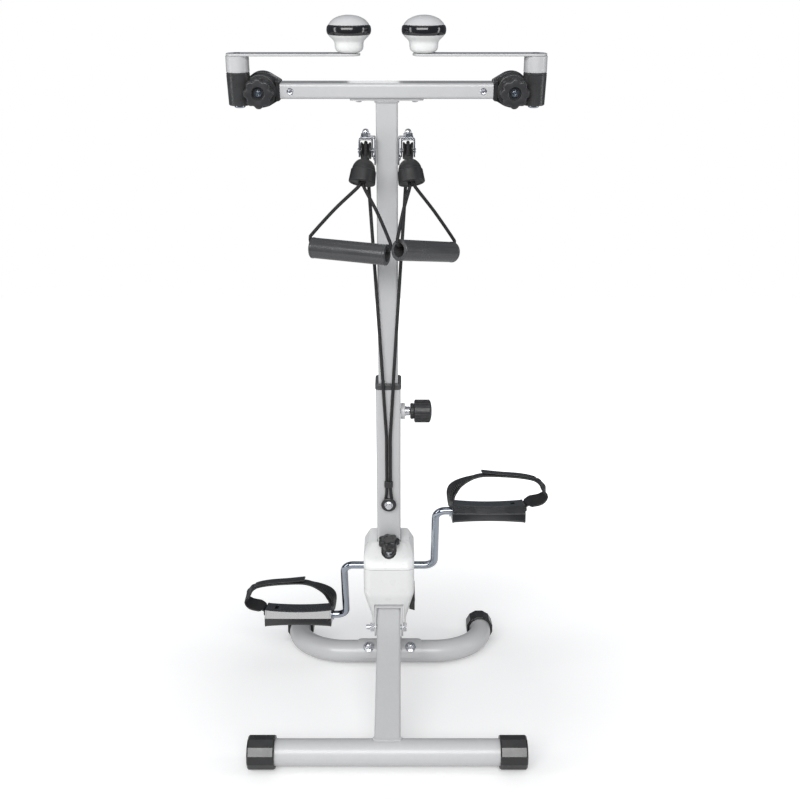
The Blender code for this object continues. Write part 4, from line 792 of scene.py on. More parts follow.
def buildMast():
    outer = squareTube(mast["outer"], mast["wall"], 0.004, -0.012, mast["outerTop"] - 0.0003)
    saddle = makeCutter(pointing(rod(0.0226, -0.05, 0.05, 96), "+x"), move(0, base["barY"], base["tubeZ"]))
    makePiece("mastOuter", "silver", "stand", outer, mastMatrix, node="mast_outer_tube", cutters=(saddle,))
    drop(saddle)
    line = []
    for x, v in seamLine(*weldLine, 8):
        s = 0.0
        for _ in range(12):
            point = onMast(x, v, s)
            span = point.y - base["barY"]
            rise = base["tubeZ"] + math.sqrt(max(0.0233 ** 2 - span ** 2, 2e-05)) - point.z
            s += rise / math.cos(math.radians(mastLean))
        line.append((x, v, s))
    makePiece("mastWeld", "weld", "stand", weldLoop(line, 0.0018, 90), mastMatrix)

    # collar: a rounded square ring with a lip and a sleeve going down inside
    low, high = mast["outerTop"], mast["outerTop"] + mast["collar"]
    steps = [(size, size, corner, height) for size, corner, height in ((0.0392, 0.005, low),
        (0.04, 0.0052, low + 0.0006), (0.04, 0.0052, low + 0.004), (0.0392, 0.005, low + 0.0044),
        (0.0392, 0.005, low + 0.005), (0.04, 0.0052, low + 0.0054), (0.04, 0.0052, high - 0.0018),
        (0.0393, 0.005, high - 0.0007), (0.0376, 0.0042, high), (0.0316, 0.0038, high),
        (0.0306, 0.0035, high - 0.0008), (0.0306, 0.0035, low - 0.03), (0.0344, 0.0026, low - 0.03),
        (0.0344, 0.0026, low))]
    makePiece("mastCollar", "collar", "stand", squareRings(steps, 8), mastMatrix, node="mast_bushing")

    inner = squareTube(mast["inner"], mast["wall"], 0.0035, mast["innerLow"], mast["innerTop"])
    holes = []
    for i in range(-2, 5):
        hole = pointing(rod(0.0044, 0.011, 0.02, 32), "+x")
        holes.append(makeCutter(hole, mastMatrix @ move(0, 0, mast["pinS"] + i * mast["pitch"])))
    makePiece("mastInner", "silver", "mast_top", inner, mastMatrix, node="mast_inner_tube", cutters=holes)
    drop(*holes)

    pin = {"weld": 0.0193, "flange": 0.0258, "end": 0.0336, "knobEnd": 0.0676, "knobR": 0.018}
    at = mastMatrix @ move(0, 0, mast["pinS"])
    flange = lathe([(0.0044, pin["weld"]), (0.0125, pin["weld"]), (0.0125, pin["flange"]), (0.0044, pin["flange"])],
        48, True, soft=0.0009, bends=4)
    makePiece("pinFlange", "silver", "stand", pointing(flange, "+x"), at, node="pin_sleeve")
    neck = lathe([(0.0044, pin["flange"]), (0.0075, pin["flange"]), (0.0075, pin["flange"] + 0.0018),
        (0.0071, pin["flange"] + 0.0022), (0.0071, pin["end"] - 0.0012), (0.0066, pin["end"]), (0.0044, pin["end"])],
        48, True)
    makePiece("pinNeck", "bright", "stand", pointing(neck, "+x"), at)
    start = pin["end"] + 0.0003
    r, stop = pin["knobR"] - 0.0009, pin["knobEnd"]
    core = lathe([(0, 0.0153), (0.004, 0.0153), (0.004, start), (0.0112, start), (0.0118, start + 0.0008),
        (0.0118, start + 0.0052), (0.0112, start + 0.006), (0.016, start + 0.0062), (r - 0.0004, start + 0.0068),
        (r, start + 0.0076), (r, stop - 0.0042), (r - 0.0005, stop - 0.0031), (r - 0.0018, stop - 0.0022),
        (0.011, stop - 0.0009), (0.006, stop - 0.0002), (0, stop)], 72)
    rib = box((-0.001, 0.0009), (-0.00085, 0.00085), (start + 0.0072, stop - 0.0036))
    small = box((-0.0008, 0.0007), (-0.0006, 0.0006), (start + 0.0006, start + 0.0054))
    core = grow(ringTree, core, rib, "charcoal", Count=26, Radius=r)
    core = grow(ringTree, core, small, "charcoal", Count=22, Radius=0.0118)
    makePiece("heightKnob", "charcoal", "height_pin", pointing(core, "+x"), at, node="height_pin")


# ---- pedal drive

drive = {"axle": (0, -0.0373, 0.1795), "armX": 0.0735, "radius": 0.125, "bend": 0.015, "rodR": 0.006,
    "rodStart": 0.0128, "angle": 27, "pedalIn": 0.098, "pedalLength": 0.112}


def buildDrive():
    for node, body, look in (("axle_shell", "stand", "steel"), ("bearing_left", "stand", "bronze"),
            ("bearing_right", "stand", "bronze"), ("crank_axle", "cranks", "steel"),
            ("brake_shoe", "brake_shoe", "rubber"), ("tension_screw", "tension_knob", "zinc")):
        softCopy("fine_" + node, node, look, body, 0.0003, 40)
    axle = onMast(*drive["axle"])
    for side, sign in sides.items():
        angle = math.radians(drive["angle"]) + (math.pi if sign < 0 else 0)
        corners = ((drive["rodStart"], 0), (drive["armX"], 0), (drive["armX"], drive["radius"]),
            (drive["pedalIn"] + drive["pedalLength"] - 0.005, drive["radius"]))
        path = filleted([(sign * x, 0, z) for x, z in corners], drive["bend"], 14)
        crankAt = move(*axle) @ Matrix.Rotation(angle, 4, "X")
        collar = pointing(washer(0.006, 0.0092, drive["pedalIn"] - 0.0034, drive["pedalIn"] - 0.0018), outward[sign])
        place(collar, move(0, 0, drive["radius"]))
        makePiece(side + "Crank", "chrome", "cranks", merged(tube(path, drive["rodR"], 32), collar), crankAt,
            node=side + "_crank")
        spindle = axle + Matrix.Rotation(angle, 3, "X") @ Vector((0, 0, drive["radius"]))
        buildPedal(side, sign, move(*spindle) @ lean(-7))

    # tension knob: seven lobes on a plain neck
    head = {"bore": 0.0043, "neck": 0.029, "low": 0.0395, "high": 0.0505, "r": 0.0175}
    low, high, r = head["low"], head["high"], head["r"]
    stack = [(head["bore"], 0, 0.0458), (head["bore"], 0, head["neck"]), (0.008, 0, head["neck"]),
        (0.0086, 0, head["neck"] + 0.0006), (0.009, 0, low - 0.003), (0.0104, 0, low - 0.0008),
        (r - 0.0016, 0.003, low), (r - 0.0003, 0.0031, low + 0.001), (r, 0.0031, low + 0.0022),
        (r, 0.0031, high - 0.0034), (r - 0.0006, 0.003, high - 0.0018), (r - 0.002, 0.0028, high - 0.0006),
        (r - 0.0045, 0.002, high), (0.0082, 0, high), (0.0074, 0, high - 0.0009)]
    knob = skin([[(0, 0, 0.0458)]] + [starRing(a, b, 7, c, 12) for a, b, c in stack] + [[(0, 0, high - 0.0009)]])
    makePiece("tensionKnob", "black", "tension_knob", knob, mastMatrix @ move(*drive["axle"]), node="tension_knob")


def buildPedal(side, sign, matrix):
    size = {"depth": 0.0275, "thick": 0.0137, "topSag": 0.003, "lowSag": 0.0024, "slope": 0.47, "ridge": 0.0005,
        "plate": 0.0026}
    near, far = drive["pedalIn"], drive["pedalIn"] + drive["pedalLength"]

    def section(x, swell=0.0, waist=1.0):
        # front and back faces in two facets, thinner towards the middle of the length
        u = (x - near) / (far - near) * 2 - 1
        sag = (1 - u * u) * waist
        d = size["depth"] + swell
        top, low = size["thick"] + swell - size["topSag"] * sag, -size["thick"] - swell + size["lowSag"] * sag
        ridge = (top + low) / 2 + size["ridge"]
        back = size["slope"] * (top - ridge)
        points = []
        for y in (-1, 1):
            half = [(d - back, top), (d - back + 0.0006, top - 0.0004), (d - 0.0002, ridge + 0.0004), (d, ridge),
                (d - 0.001, low + 0.003), (d - 0.0032, low)]
            points += [(y * a, b) for a, b in (half if y < 0 else half[::-1])]
        return [(sign * x, y, z) for y, z in points]

    body = skin([section(near + 0.001 + (far - near - 0.002) * i / 32) for i in range(33)])
    slotX = sorted((sign * (far - 0.0205), sign * (far - 0.0145)))
    bore = rod(0.0068, near - 0.01, far - 0.0045, 32)
    cuts = [makeCutter(box(slotX, (-0.0085, 0.0085), (0.004, 0.02)), matrix),
        makeCutter(pointing(bore, outward[sign]), matrix)]
    makePiece(side + "PedalBody", "pedal", side + "_pedal", body, matrix, node=side + "_pedal", bevel=0.0004,
        angle=20, cutters=cuts)
    ends = [skin([section(x, 0.0002, 0) for x in (low, low + size["plate"])]) for low in (near, far - size["plate"])]
    makePiece(side + "PedalEnds", "pedal", side + "_pedal", merged(*ends), matrix, bevel=0.0004, angle=30,
        cutters=(cuts[1],))
    drop(*cuts)
    # tread: fine ribs across the top that follow its sag
    rib = box((-0.0005, 0.0005), (-0.0205, 0.0205), (-0.0005, 0.0003))
    spots = [near + 0.008 + (far - near - 0.034) * i / 20 for i in range(21)]
    tread = grow(pathTree, wire([(sign * x, 0, section(x)[0][2]) for x in spots]), rib, "pedal", Count=34,
        Side=(0, 1, 0))
    makePiece(side + "PedalTread", "pedal", side + "_pedal", tread, matrix)
    buildFootStrap(side, sign, matrix)


def buildFootStrap(side, sign, matrix):
    size = {"thick": 0.0027, "width": 0.0275, "rise": 0.0575, "out": 0.2442, "twistAt": 0.66, "twistRun": 0.12,
        "slantAt": 0.12, "slantRun": 0.16}
    half = size["thick"] / 2
    inner, outer = drive["pedalIn"] - 0.0002 - half, drive["pedalIn"] + drive["pedalLength"]
    top, reach = size["rise"] - half, size["out"] - half
    route = [(inner, 0.006), (inner, 0.018), (inner + 0.0016, 0.03), (inner + 0.0085, 0.0395), (inner + 0.02, 0.0468),
        (inner + 0.0345, 0.0525), (inner + 0.051, top), (inner + 0.078, top - 0.0004), (outer - 0.008, 0.0537),
        (outer + 0.011, 0.0505), (outer + 0.023, 0.046), (reach - 0.005, 0.0398), (reach, 0.032),
        (reach - 0.0004, 0.0255), (reach - 0.005, 0.02), (outer + 0.022, 0.0172), (outer + 0.011, 0.015),
        (outer + 0.0045, 0.0132), (outer + 0.002, 0.01), (outer + 0.0018, 0.002)]
    line = smoothRoute([(sign * x, 0, z) for x, z in route], 0.003)
    # past the outer bend the band turns its face to the front
    turn, count = [], len(line)
    for i in range(count):
        share = min(1, max(0, (i / count - size["twistAt"]) / size["twistRun"]))
        share = share * share * (3 - 2 * share)
        if i > count - 7:
            share *= max(0, (count - i - 2) / 6)
        slant = max(0, 1 - abs(i / count - size["slantAt"]) / size["slantRun"])
        turn.append(Vector((-0.55 * sign * slant, 1, 0.55 * share + 0.25 * slant)))
    makePiece(side + "StrapBand", "strap", side + "_pedal", ribbon(line, turn, size["width"], size["thick"], 0.0011),
        matrix, node=side + "_pedal_strap", angle=50, fix=False)
    # ridges across the band near the pedal's inner end, and the rivets of its outer tab
    ridge = box((-0.0007, 0.0007), (-0.0122, 0.0122), (-0.0018, 0.0018))
    ridges = grow(pathTree, wire(line[4:20]), ridge, "strap", Count=15, Side=(0, 1, 0))
    makePiece(side + "StrapRidges", "rubber", side + "_pedal", ridges, matrix)
    rivets = []
    for y in (-0.0075, 0.0075):
        rivet = lathe([(0, -0.001), (0.0028, -0.001), (0.0028, 0.0014), (0.0016, 0.0022), (0, 0.0023)], 24,
            soft=0.0005)
        rivet = pointing(rivet, outward[sign])
        rivets.append(place(rivet, move(sign * (outer + 0.0018), y, 0.004)))
    makePiece(side + "StrapRivets", "black", side + "_pedal", merged(*rivets), matrix)
    # the free tail lies along the band and stops short of its inner bend
    lift = 0.0029
    tail = [(outer + 0.019, 0.0478 + lift), (outer + 0.011, 0.0505 + lift), (outer - 0.008, 0.0537 + lift),
        (inner + 0.078, top + lift - 0.0004), (inner + 0.062, top + lift + 0.0012),
        (inner + 0.048, top + lift + 0.0026)]
    line = smoothRoute([(sign * x, 0, z) for x, z in tail], 0.0035)
    makePiece(side + "StrapTail", "strap", side + "_pedal", ribbon(line, [Vector((0, 1, 0))] * len(line), 0.0262,
        0.0024, 0.001), matrix, angle=50, fix=False)


# ---- housing and counter

housing = {"wall": 0.0025, "back": 0.0235, "corner": 0.013, "backCorner": 0.006, "seamGap": 0.00035, "foot": 0.06,
    "button": (0, -0.026, 0.104), "screw": (0, -0.012, 0.15),
    "levels": [(0.06, 0.028, -0.046), (0.0775, 0.028, -0.048), (0.134, 0.041, -0.0605), (0.188, 0.041, -0.0605),
    (0.1985, 0.041, -0.0505), (0.213, 0.0325, -0.025)]}


def housingSolid(inset, foot):
    levels = [(foot, *housing["levels"][0][1:])] + housing["levels"][1:]
    levels = soften(levels, 0.0042, 5)
    top = levels[-1][0]
    rows = []
    for s, width, front in levels:
        steep = inset * (1.5 if s > 0.19 else 1.0)
        if s == top:
            s -= inset
        width, ahead, back = width - inset, front + steep, housing["back"] - inset
        corner = min(housing["corner"], width * 0.4, (back - ahead) * 0.3)
        row = []
        for cx, cy, r, start in ((width, back, housing["backCorner"], 0), (-width, back, housing["backCorner"], 90),
                (-width, ahead, corner, 180), (width, ahead, corner, 270)):
            centre = (cx - math.copysign(r, cx), cy - r if cy == back else cy + r)
            row += [(x, y, s) for x, y in arc(centre, r, math.radians(start), math.radians(start + 90), 8)]
        rows.append(row)
    return skin(rows)


# turned profiles of the side screw and the counter's button, and the window's outline
housingShape = {
    "screw": [(0, 0.0416), (0.0016, 0.0416), (0.002, 0.042), (0.0032, 0.042), (0.0038, 0.0414), (0.0038, 0.0405),
        (0, 0.0405)],
    "window": [(-0.0385, 0.1105), (-0.02, 0.1105), (-0.02, 0.1225), (-0.0385, 0.1225)],
    "button": [(0, 0.0409), (0.0034, 0.0409), (0.0034, 0.043), (0.0028, 0.0432), (0, 0.043)]}


def buildHousing():
    seam = onMast(*drive["axle"]).z
    inside = makeCutter(housingSolid(housing["wall"], 0.04), mastMatrix)
    above = makeCutter(box((-0.2, 0.2), (-0.2, 0.3), (seam - housing["seamGap"], seam + 0.3)))
    below = makeCutter(box((-0.2, 0.2), (-0.2, 0.3), (seam - 0.3, seam + housing["seamGap"])))
    axleHole = makeCutter(pointing(rod(0.0073, -0.1, 0.1, 48), "+x"), mastMatrix @ move(*drive["axle"]))
    mastHole = makeCutter(box((-0.0195, 0.0195), (-0.0195, 0.0195), (0.18, 0.28)), mastMatrix)
    slot = arc((0, drive["axle"][1]), 0.0125, math.pi, math.tau, 32) + [(0.0125, -0.0168), (-0.0125, -0.0168)]
    slotCut = makeCutter(prism(slot, "z", 0.1885, 0.28), mastMatrix)
    makePiece("housingUpper", "white", "stand", housingSolid(0, housing["foot"]), mastMatrix,
        node="housing_upper", bevel=0.0006, angle=50, cutters=(inside, below, axleHole, mastHole, slotCut))
    notch = makeCutter(box((-0.0243, 0.0243), (-0.05, 0.07), (-0.08, 0.0252)), legMatrix)
    makePiece("housingLower", "white", "stand", housingSolid(0, housing["foot"]), mastMatrix,
        node="housing_lower", bevel=0.0006, angle=50, cutters=(inside, above, axleHole, notch))
    drop(inside, above, below, axleHole, mastHole, slotCut, notch)
    # screw sunk in each side of the casing
    screws = []
    for sign in (-1, 1):
        sunk = lathe(housingShape["screw"], 28, soft=0.0003)
        place(sunk, move(0, 0, -0.0004))
        screws.append(place(pointing(sunk, outward[sign]), move(*housing["screw"])))
    makePiece("housingScrews", "zinc", "stand", merged(*screws), mastMatrix)
    softCopy("counterCase", "counter", "black", "stand", 0.0009, 30)
    window = prism(housingShape["window"], "x", 0.042, 0.0426)
    makePiece("counterWindow", "window", "stand", window, mastMatrix, bevel=0.0003, angle=40)
    button = lathe(housingShape["button"], 32, soft=0.0004)
    at = mastMatrix @ move(*housing["button"])
    makePiece("counterButton", "grey", "counter_button", pointing(button, "+x"), at, node="counter_button")


# ---- T-bar, tilt clamps and hand cranks

tbar = {"half": 0.144, "height": 0.0205, "depth": 0.038, "boltX": 0.1304, "pivotX": 0.1705, "near": 0.0262,
    "socketX": 0.199, "socketV": -0.0168, "plate": (0.1, 0.034, 0.006), "plateS": (0.9085, 0.9105),
    "plateBoltX": 0.0385, "weldS": 0.907}


def buildTop():
    pivot = mastMatrix @ move(0, 0, pivotS)
    h, d, half = tbar["height"], tbar["depth"], tbar["half"]
    loops = []
    for width, depth, corner, x in ((d - 0.0005, h - 0.0005, 0.004, -half), (d, h, 0.0042, -half + 0.0003),
            (d, h, 0.0042, half - 0.0003), (d - 0.0005, h - 0.0005, 0.004, half),
            (d - 0.003, h - 0.003, 0.0025, half), (d - 0.003, h - 0.003, 0.0025, -half)):
        loops.append([(x, y, z) for y, z in rounded(width, depth, corner, 8)])
    makePiece("tBar", "silver", "mast_top", skin(loops, loop=True), pivot, node="t_bar")
    front = d / 2
    bolts = []
    for sign in (-1, 1):
        head = lathe([(0, front + 0.0002), (0.0017, front + 0.0003), (0.0022, front + 0.0008),
            (0.0024, front + 0.0017), (0.0031, front + 0.0019), (0.004, front + 0.0014), (0.0046, front + 0.0005),
            (0.0047, front + 0.0001), (0.0047, front - 0.001), (0, front - 0.001)], 40)
        bolts.append(place(pointing(head, "-y"), move(sign * tbar["boltX"], 0, 0)))
    makePiece("tBarBolts", "bright", "mast_top", merged(*bolts), pivot)
    plate = prism(rounded(*tbar["plate"], 8), "z", *tbar["plateS"])
    makePiece("tBarPlate", "silver", "mast_top", plate, mastMatrix, node="t_bar_plate", bevel=0.0005, angle=40)
    under = []
    for sign in (-1, 1):
        head = lathe([(0, 0.9047), (0.0028, 0.9048), (0.0046, 0.9062), (0.0048, 0.9086), (0, 0.9086)], 36, soft=0.001,
            bends=4)
        under.append(place(head, move(sign * tbar["plateBoltX"], 0, 0)))
    makePiece("plateBolts", "bright", "mast_top", merged(*under), mastMatrix)
    line = [(x, v, tbar["weldS"]) for x, v in seamLine(0.0312, 0.0038, 6)]
    makePiece("plateWeld", "weld", "mast_top", weldLoop(line, 0.0015, 84), mastMatrix)
    for side, sign in sides.items():
        buildTiltArm(side, sign, pivot @ move(sign * tbar["pivotX"], 0, 0))


def starKnob(neck, low, high, end, bore, radius, depth, lobes):
    stack = [(neck, 0, low), (neck, 0, high - 0.0012), (neck + 0.0018, 0.0006, high),
        (radius - 0.0034, 0.0016, high + 0.0028), (radius - 0.0012, 0.0026, high + 0.0046),
        (radius, depth, high + 0.0066), (radius, depth, end - 0.0034), (radius - 0.0008, depth, end - 0.0018),
        (radius - 0.002, depth * 0.95, end - 0.0006), (radius - 0.0036, depth * 0.9, end), (0.0094, 0, end - 0.0002),
        (0.0084, 0, end - 0.001), (0.0078, 0, end - 0.0065), (bore, 0, end - 0.0065), (bore, 0, low)]
    return skin([starRing(a, b, lobes, c, 14, 1.7) for a, b, c in stack], loop=True)


# the tilting socket's profile, from its low end up
armShape = {
    "column": [(0.0066, -0.0179), (0.0136, -0.0179), (0.0146, -0.017), (0.0148, -0.011), (0.0157, 0.0205),
        (0.0158, 0.0214), (0.0153, 0.0218), (0.0153, 0.0224), (0.0158, 0.0228), (0.0158, 0.0234), (0.015, 0.0244),
        (0.0066, 0.0244)]}


def buildTiltArm(side, sign, pivot):
    clamp = {"r": 0.0235, "discR": 0.0215, "lap": 0.0004, "depth": 0.019, "end": 0.0126}
    near, depth = tbar["near"], clamp["depth"]
    reach = math.radians(118)
    outline = arc((0, 0), clamp["r"], -reach, reach, 48)
    outline += [(-near + 0.0012, clamp["end"]), (-near, clamp["end"] - 0.001), (-near, -clamp["end"] + 0.001),
        (-near + 0.0012, -clamp["end"])]
    shell = prism([(sign * x, z) for x, z in outline], "y", clamp["lap"], depth)
    outline = [(-near + 0.0054, 0.0135), (-near + 0.0012, clamp["end"]), (-near, clamp["end"] - 0.001),
        (-near, -clamp["end"] + 0.001), (-near + 0.0012, -clamp["end"]), (-near + 0.0054, -0.0135)]
    block = prism([(sign * x, z) for x, z in outline], "y", -depth, 0.004)
    makePiece(side + "ClampBase", "black", "mast_top", shell, pivot, node=side + "_clamp_base", bevel=0.0009,
        angle=40)
    makePiece(side + "ClampBlock", "black", "mast_top", block, pivot, bevel=0.0006, angle=30)
    shank = lathe([(0, -depth - 0.0072), (0.0058, -depth - 0.0072), (0.007, -depth - 0.0058), (0.007, -depth),
        (0.004, -depth), (0.004, depth + 0.0225), (0.0034, depth + 0.0238), (0.0016, depth + 0.0238),
        (0.0013, depth + 0.0228), (0, depth + 0.0228)], 40, soft=0.0003)
    bolt = merged(shank, hexNut(0.0098, 0.003, depth + 0.02))
    makePiece(side + "ClampBolt", "chrome", "mast_top", pointing(bolt, "-y"), pivot)
    # interlocking teeth round the joint between the two clamp halves
    tooth = box((-0.0042, 0.0003), (-0.0006, 0.0006), (-0.0009, 0.0009))
    ring = washer(0.012, 0.0212, -0.0009, 0.0003)
    teeth = grow(ringTree, ring, tooth, "black", Count=44, Radius=0.0212, Height=-0.0006)
    makePiece(side + "ClampTeeth", "black", "mast_top", pointing(teeth, "-y"), pivot)

    # moving half: a disc with the socket column on its outer side
    disc = pointing(lathe([(0.0044, clamp["lap"]), (clamp["discR"], clamp["lap"]), (clamp["discR"], depth),
        (0.0044, depth)], 96, True, soft=0.0011, bends=4), "-y")
    column = lathe(armShape["column"], 72, True)
    reach = tbar["socketX"] - tbar["pivotX"]
    makePiece(side + "TiltDisc", "socket", side + "_tilt_arm", disc, pivot, node=side + "_arm_socket")
    makePiece(side + "Socket", "socket", side + "_tilt_arm", column, pivot @ move(sign * reach, tbar["socketV"], 0))
    bridge = prism([(sign * 0.0056, -0.015), (sign * reach, -0.015), (sign * reach, 0.017), (sign * 0.0056, 0.015)],
        "y", -0.0186, -0.0044)
    makePiece(side + "SocketWeb", "socket", side + "_tilt_arm", bridge, pivot, bevel=0.0022, angle=40)
    knob = starKnob(neck=0.0125, low=0.0193, high=0.026, end=0.0453, bore=0.0044, radius=0.0202, depth=0.0027,
        lobes=8)
    makePiece(side + "StarKnob", "charcoal", side + "_star_knob", pointing(knob, "-y"), pivot,
        node=side + "_star_knob")
    buildHandCrank(side, sign, mastMatrix @ move(sign * tbar["socketX"], tbar["socketV"], 0))


# the hand knob's turned profiles, radius and height above the crank arm
knobShape = {
    "cup": [(0.0046, 0.0003), (0.0112, 0.0003), (0.0138, 0.001), (0.0165, 0.0026), (0.0182, 0.0048), (0.019, 0.0078),
        (0.0191, 0.0118), (0.0195, 0.014), (0.0206, 0.016), (0.0228, 0.0182), (0.0252, 0.0203), (0.027, 0.0224),
        (0.0275, 0.0232), (0.0262, 0.024), (0.0046, 0.024)],
    "band": [(0.0046, 0.0229), (0.0268, 0.0229), (0.0282, 0.0236), (0.0293, 0.0262), (0.0296, 0.0296),
        (0.0289, 0.0334), (0.0274, 0.0352), (0.024, 0.0356), (0.0046, 0.0356)],
    "dome": [(0, 0.0352), (0.0262, 0.0352), (0.0268, 0.0358), (0.0263, 0.0366), (0.0252, 0.0381), (0.0235, 0.04),
        (0.0206, 0.0424), (0.017, 0.0443), (0.013, 0.0458), (0.009, 0.0468), (0.0045, 0.0474), (0, 0.0476)]}


def buildHandCrank(side, sign, matrix):
    arm = {"low": 0.96685, "high": 0.97005, "r": 0.0147, "run": 0.1495, "sleeveLow": 0.94575, "sleeveR": 0.0155}
    foot = pivotS - 0.0182
    screw = lathe([(0, foot - 0.003), (0.0058, foot - 0.0032), (0.0074, foot - 0.002), (0.0074, foot), (0.006, foot),
        (0.006, 0.9459), (0, 0.9459)], 40, soft=0.0005)
    sleeve = lathe([(0, arm["sleeveLow"]), (arm["sleeveR"] - 0.0006, arm["sleeveLow"]),
        (arm["sleeveR"], arm["sleeveLow"] + 0.0006), (arm["sleeveR"], arm["low"] - 0.0006),
        (arm["sleeveR"] - 0.0004, arm["low"] - 0.0001), (0, arm["low"] - 0.0001)], 72)
    outline = arc((0, 0), arm["r"], -math.pi / 2, math.pi / 2, 28)
    outline += arc((-arm["run"], 0), arm["r"], math.pi / 2, 3 * math.pi / 2, 28)
    flat = prism([(sign * x, y) for x, y in outline], "z", arm["low"], arm["high"])
    stub = place(rod(0.0039, arm["low"] + 0.0012, arm["high"] + 0.029, 28), move(-sign * arm["run"], 0, 0))
    rivet = lathe([(0, arm["high"] + 0.0007), (0.004, arm["high"] + 0.0006), (0.0052, arm["high"] - 0.0002),
        (0, arm["high"] - 0.0002)], 36, soft=0.0006, bends=4)
    crank = side + "_hand_crank"
    makePiece(side + "ArmSleeve", "silver", crank, sleeve, matrix, node=crank)
    makePiece(side + "CrankArm", "silver", crank, flat, matrix, bevel=0.0008, angle=40)
    makePiece(side + "CrankScrew", "chrome", crank, merged(screw, rivet, stub), matrix)

    at = matrix @ move(-sign * arm["run"], 0, arm["high"])
    knob = side + "_hand_knob"
    cup = lathe(knobShape["cup"], 80, True)
    makePiece(side + "KnobCup", "white", knob, cup, at, node=knob)
    band = lathe(knobShape["band"], 96, True, soft=0.0016, bends=4)
    makePiece(side + "KnobBand", "gloss", knob, band, at)
    dome = lathe(knobShape["dome"], 96)
    # the dome is the white plastic darkened, as painted shade
    makePiece(side + "KnobDome", "shadedWhite", knob, dome, at, angle=60)


# ---- pulleys, elastic cord and pull handles

elastic = {"r": 0.0025, "runV": -0.0228, "pulleyX": 0.029, "pulleyV": -0.02, "pulleyS": 0.8427, "pitchR": 0.0108,
    "anchorS": 0.286, "clipS": 0.3211, "collarX": 0.0075, "pullDown": 27, "leaveAt": 153, "boltR": 0.0025,
    "stillS": 0.5, "movesS": 0.82}


# the bent strip's outline and the turned profiles of screw and wheel
pulleyShape = {
    "hanger": [(0.0153, 0.8241), (0.0173, 0.8241), (0.0173, 0.859), (0.0178, 0.86), (0.0188, 0.8603),
        (0.0362, 0.8603), (0.0362, 0.862), (0.0176, 0.862), (0.016, 0.8613), (0.0153, 0.8597)],
    "screw": [(0, 0.0168), (0.0042, 0.0168), (0.0042, 0.0178), (0.0024, 0.019), (0, 0.0192)],
    "wheel": [(0.0029, -0.0073), (0.0108, -0.0073), (0.0115, -0.0066), (0.0115, -0.0054), (0.009, -0.003),
        (0.008, -0.0014), (0.008, 0.0014), (0.009, 0.003), (0.0115, 0.0054), (0.0115, 0.0066), (0.0108, 0.0073),
        (0.0029, 0.0073)]}


def buildPulleys():
    for side, sign in sides.items():
        at = mastMatrix @ move(sign * elastic["pulleyX"], elastic["pulleyV"], 0)
        strip = prism([(sign * x, s) for x, s in pulleyShape["hanger"]], "y", -0.0275, -0.012)
        screw = pointing(lathe(pulleyShape["screw"], 28,
            soft=0.0006), outward[sign])
        place(screw, move(0, elastic["pulleyV"], 0.833))
        makePiece(side + "Hanger", "bright", "mast_top", strip, mastMatrix, node=side + "_pulley_hanger",
            bevel=0.0004, angle=30)
        makePiece(side + "HangerScrew", "bright", "mast_top", screw, mastMatrix)
        clevis = {"inner": 0.0079, "outer": 0.0099, "foot": 0.8349, "top": 0.8597, "depth": 0.007, "nut": 0.8623}
        outline = [(-clevis["outer"], clevis["foot"]), (-clevis["inner"], clevis["foot"])]
        outline += arc((-clevis["inner"] + 0.002, clevis["top"] - 0.004), 0.002, math.pi, math.pi / 2, 6)
        outline += arc((clevis["inner"] - 0.002, clevis["top"] - 0.004), 0.002, math.pi / 2, 0, 6)
        outline += [(clevis["inner"], clevis["foot"]), (clevis["outer"], clevis["foot"])]
        outline += arc((clevis["outer"] - 0.0035, clevis["top"] - 0.0035), 0.0035, 0, math.pi / 2, 8)
        outline += arc((-clevis["outer"] + 0.0035, clevis["top"] - 0.0035), 0.0035, math.pi / 2, math.pi, 8)
        makePiece(side + "PulleyFrame", "bright", "mast_top", prism(outline, "y", -clevis["depth"], clevis["depth"]),
            at, node=side + "_pulley_block", bevel=0.0004, angle=30)
        nut = clevis["nut"]
        dome = lathe([(0, nut + 0.0034), (0.0046, nut + 0.004), (0.0045, nut + 0.0068), (0.003, nut + 0.0094),
            (0, nut + 0.0102)], 32, soft=0.0018, bends=5)
        stud = merged(hexNut(0.0112, 0.004, nut), dome, rod(0.0029, clevis["top"] - 0.001, nut + 0.001, 24))
        makePiece(side + "PulleyNut", "bright", "mast_top", stud, at)
        out = clevis["outer"]
        pin = lathe([(0, -out - 0.0012), (0.003, -out - 0.0012), (0.0036, -out - 0.0004), (0.0036, -out + 0.0008),
            (0.0025, -out + 0.0008), (0.0025, out - 0.0008), (0.0036, out - 0.0008), (0.0036, out + 0.0004),
            (0.003, out + 0.0012), (0, out + 0.0012)], 32, soft=0.0003)
        hub = at @ move(0, 0, elastic["pulleyS"])
        makePiece(side + "PulleyPin", "bright", "mast_top", pointing(pin, "+x"), hub)
        wheel = lathe(pulleyShape["wheel"], 64, True, soft=0.0004, bends=2)
        makePiece(side + "PulleyWheel", "black", side + "_pulley_wheel", pointing(wheel, "+x"), hub,
            node=side + "_pulley_wheel")


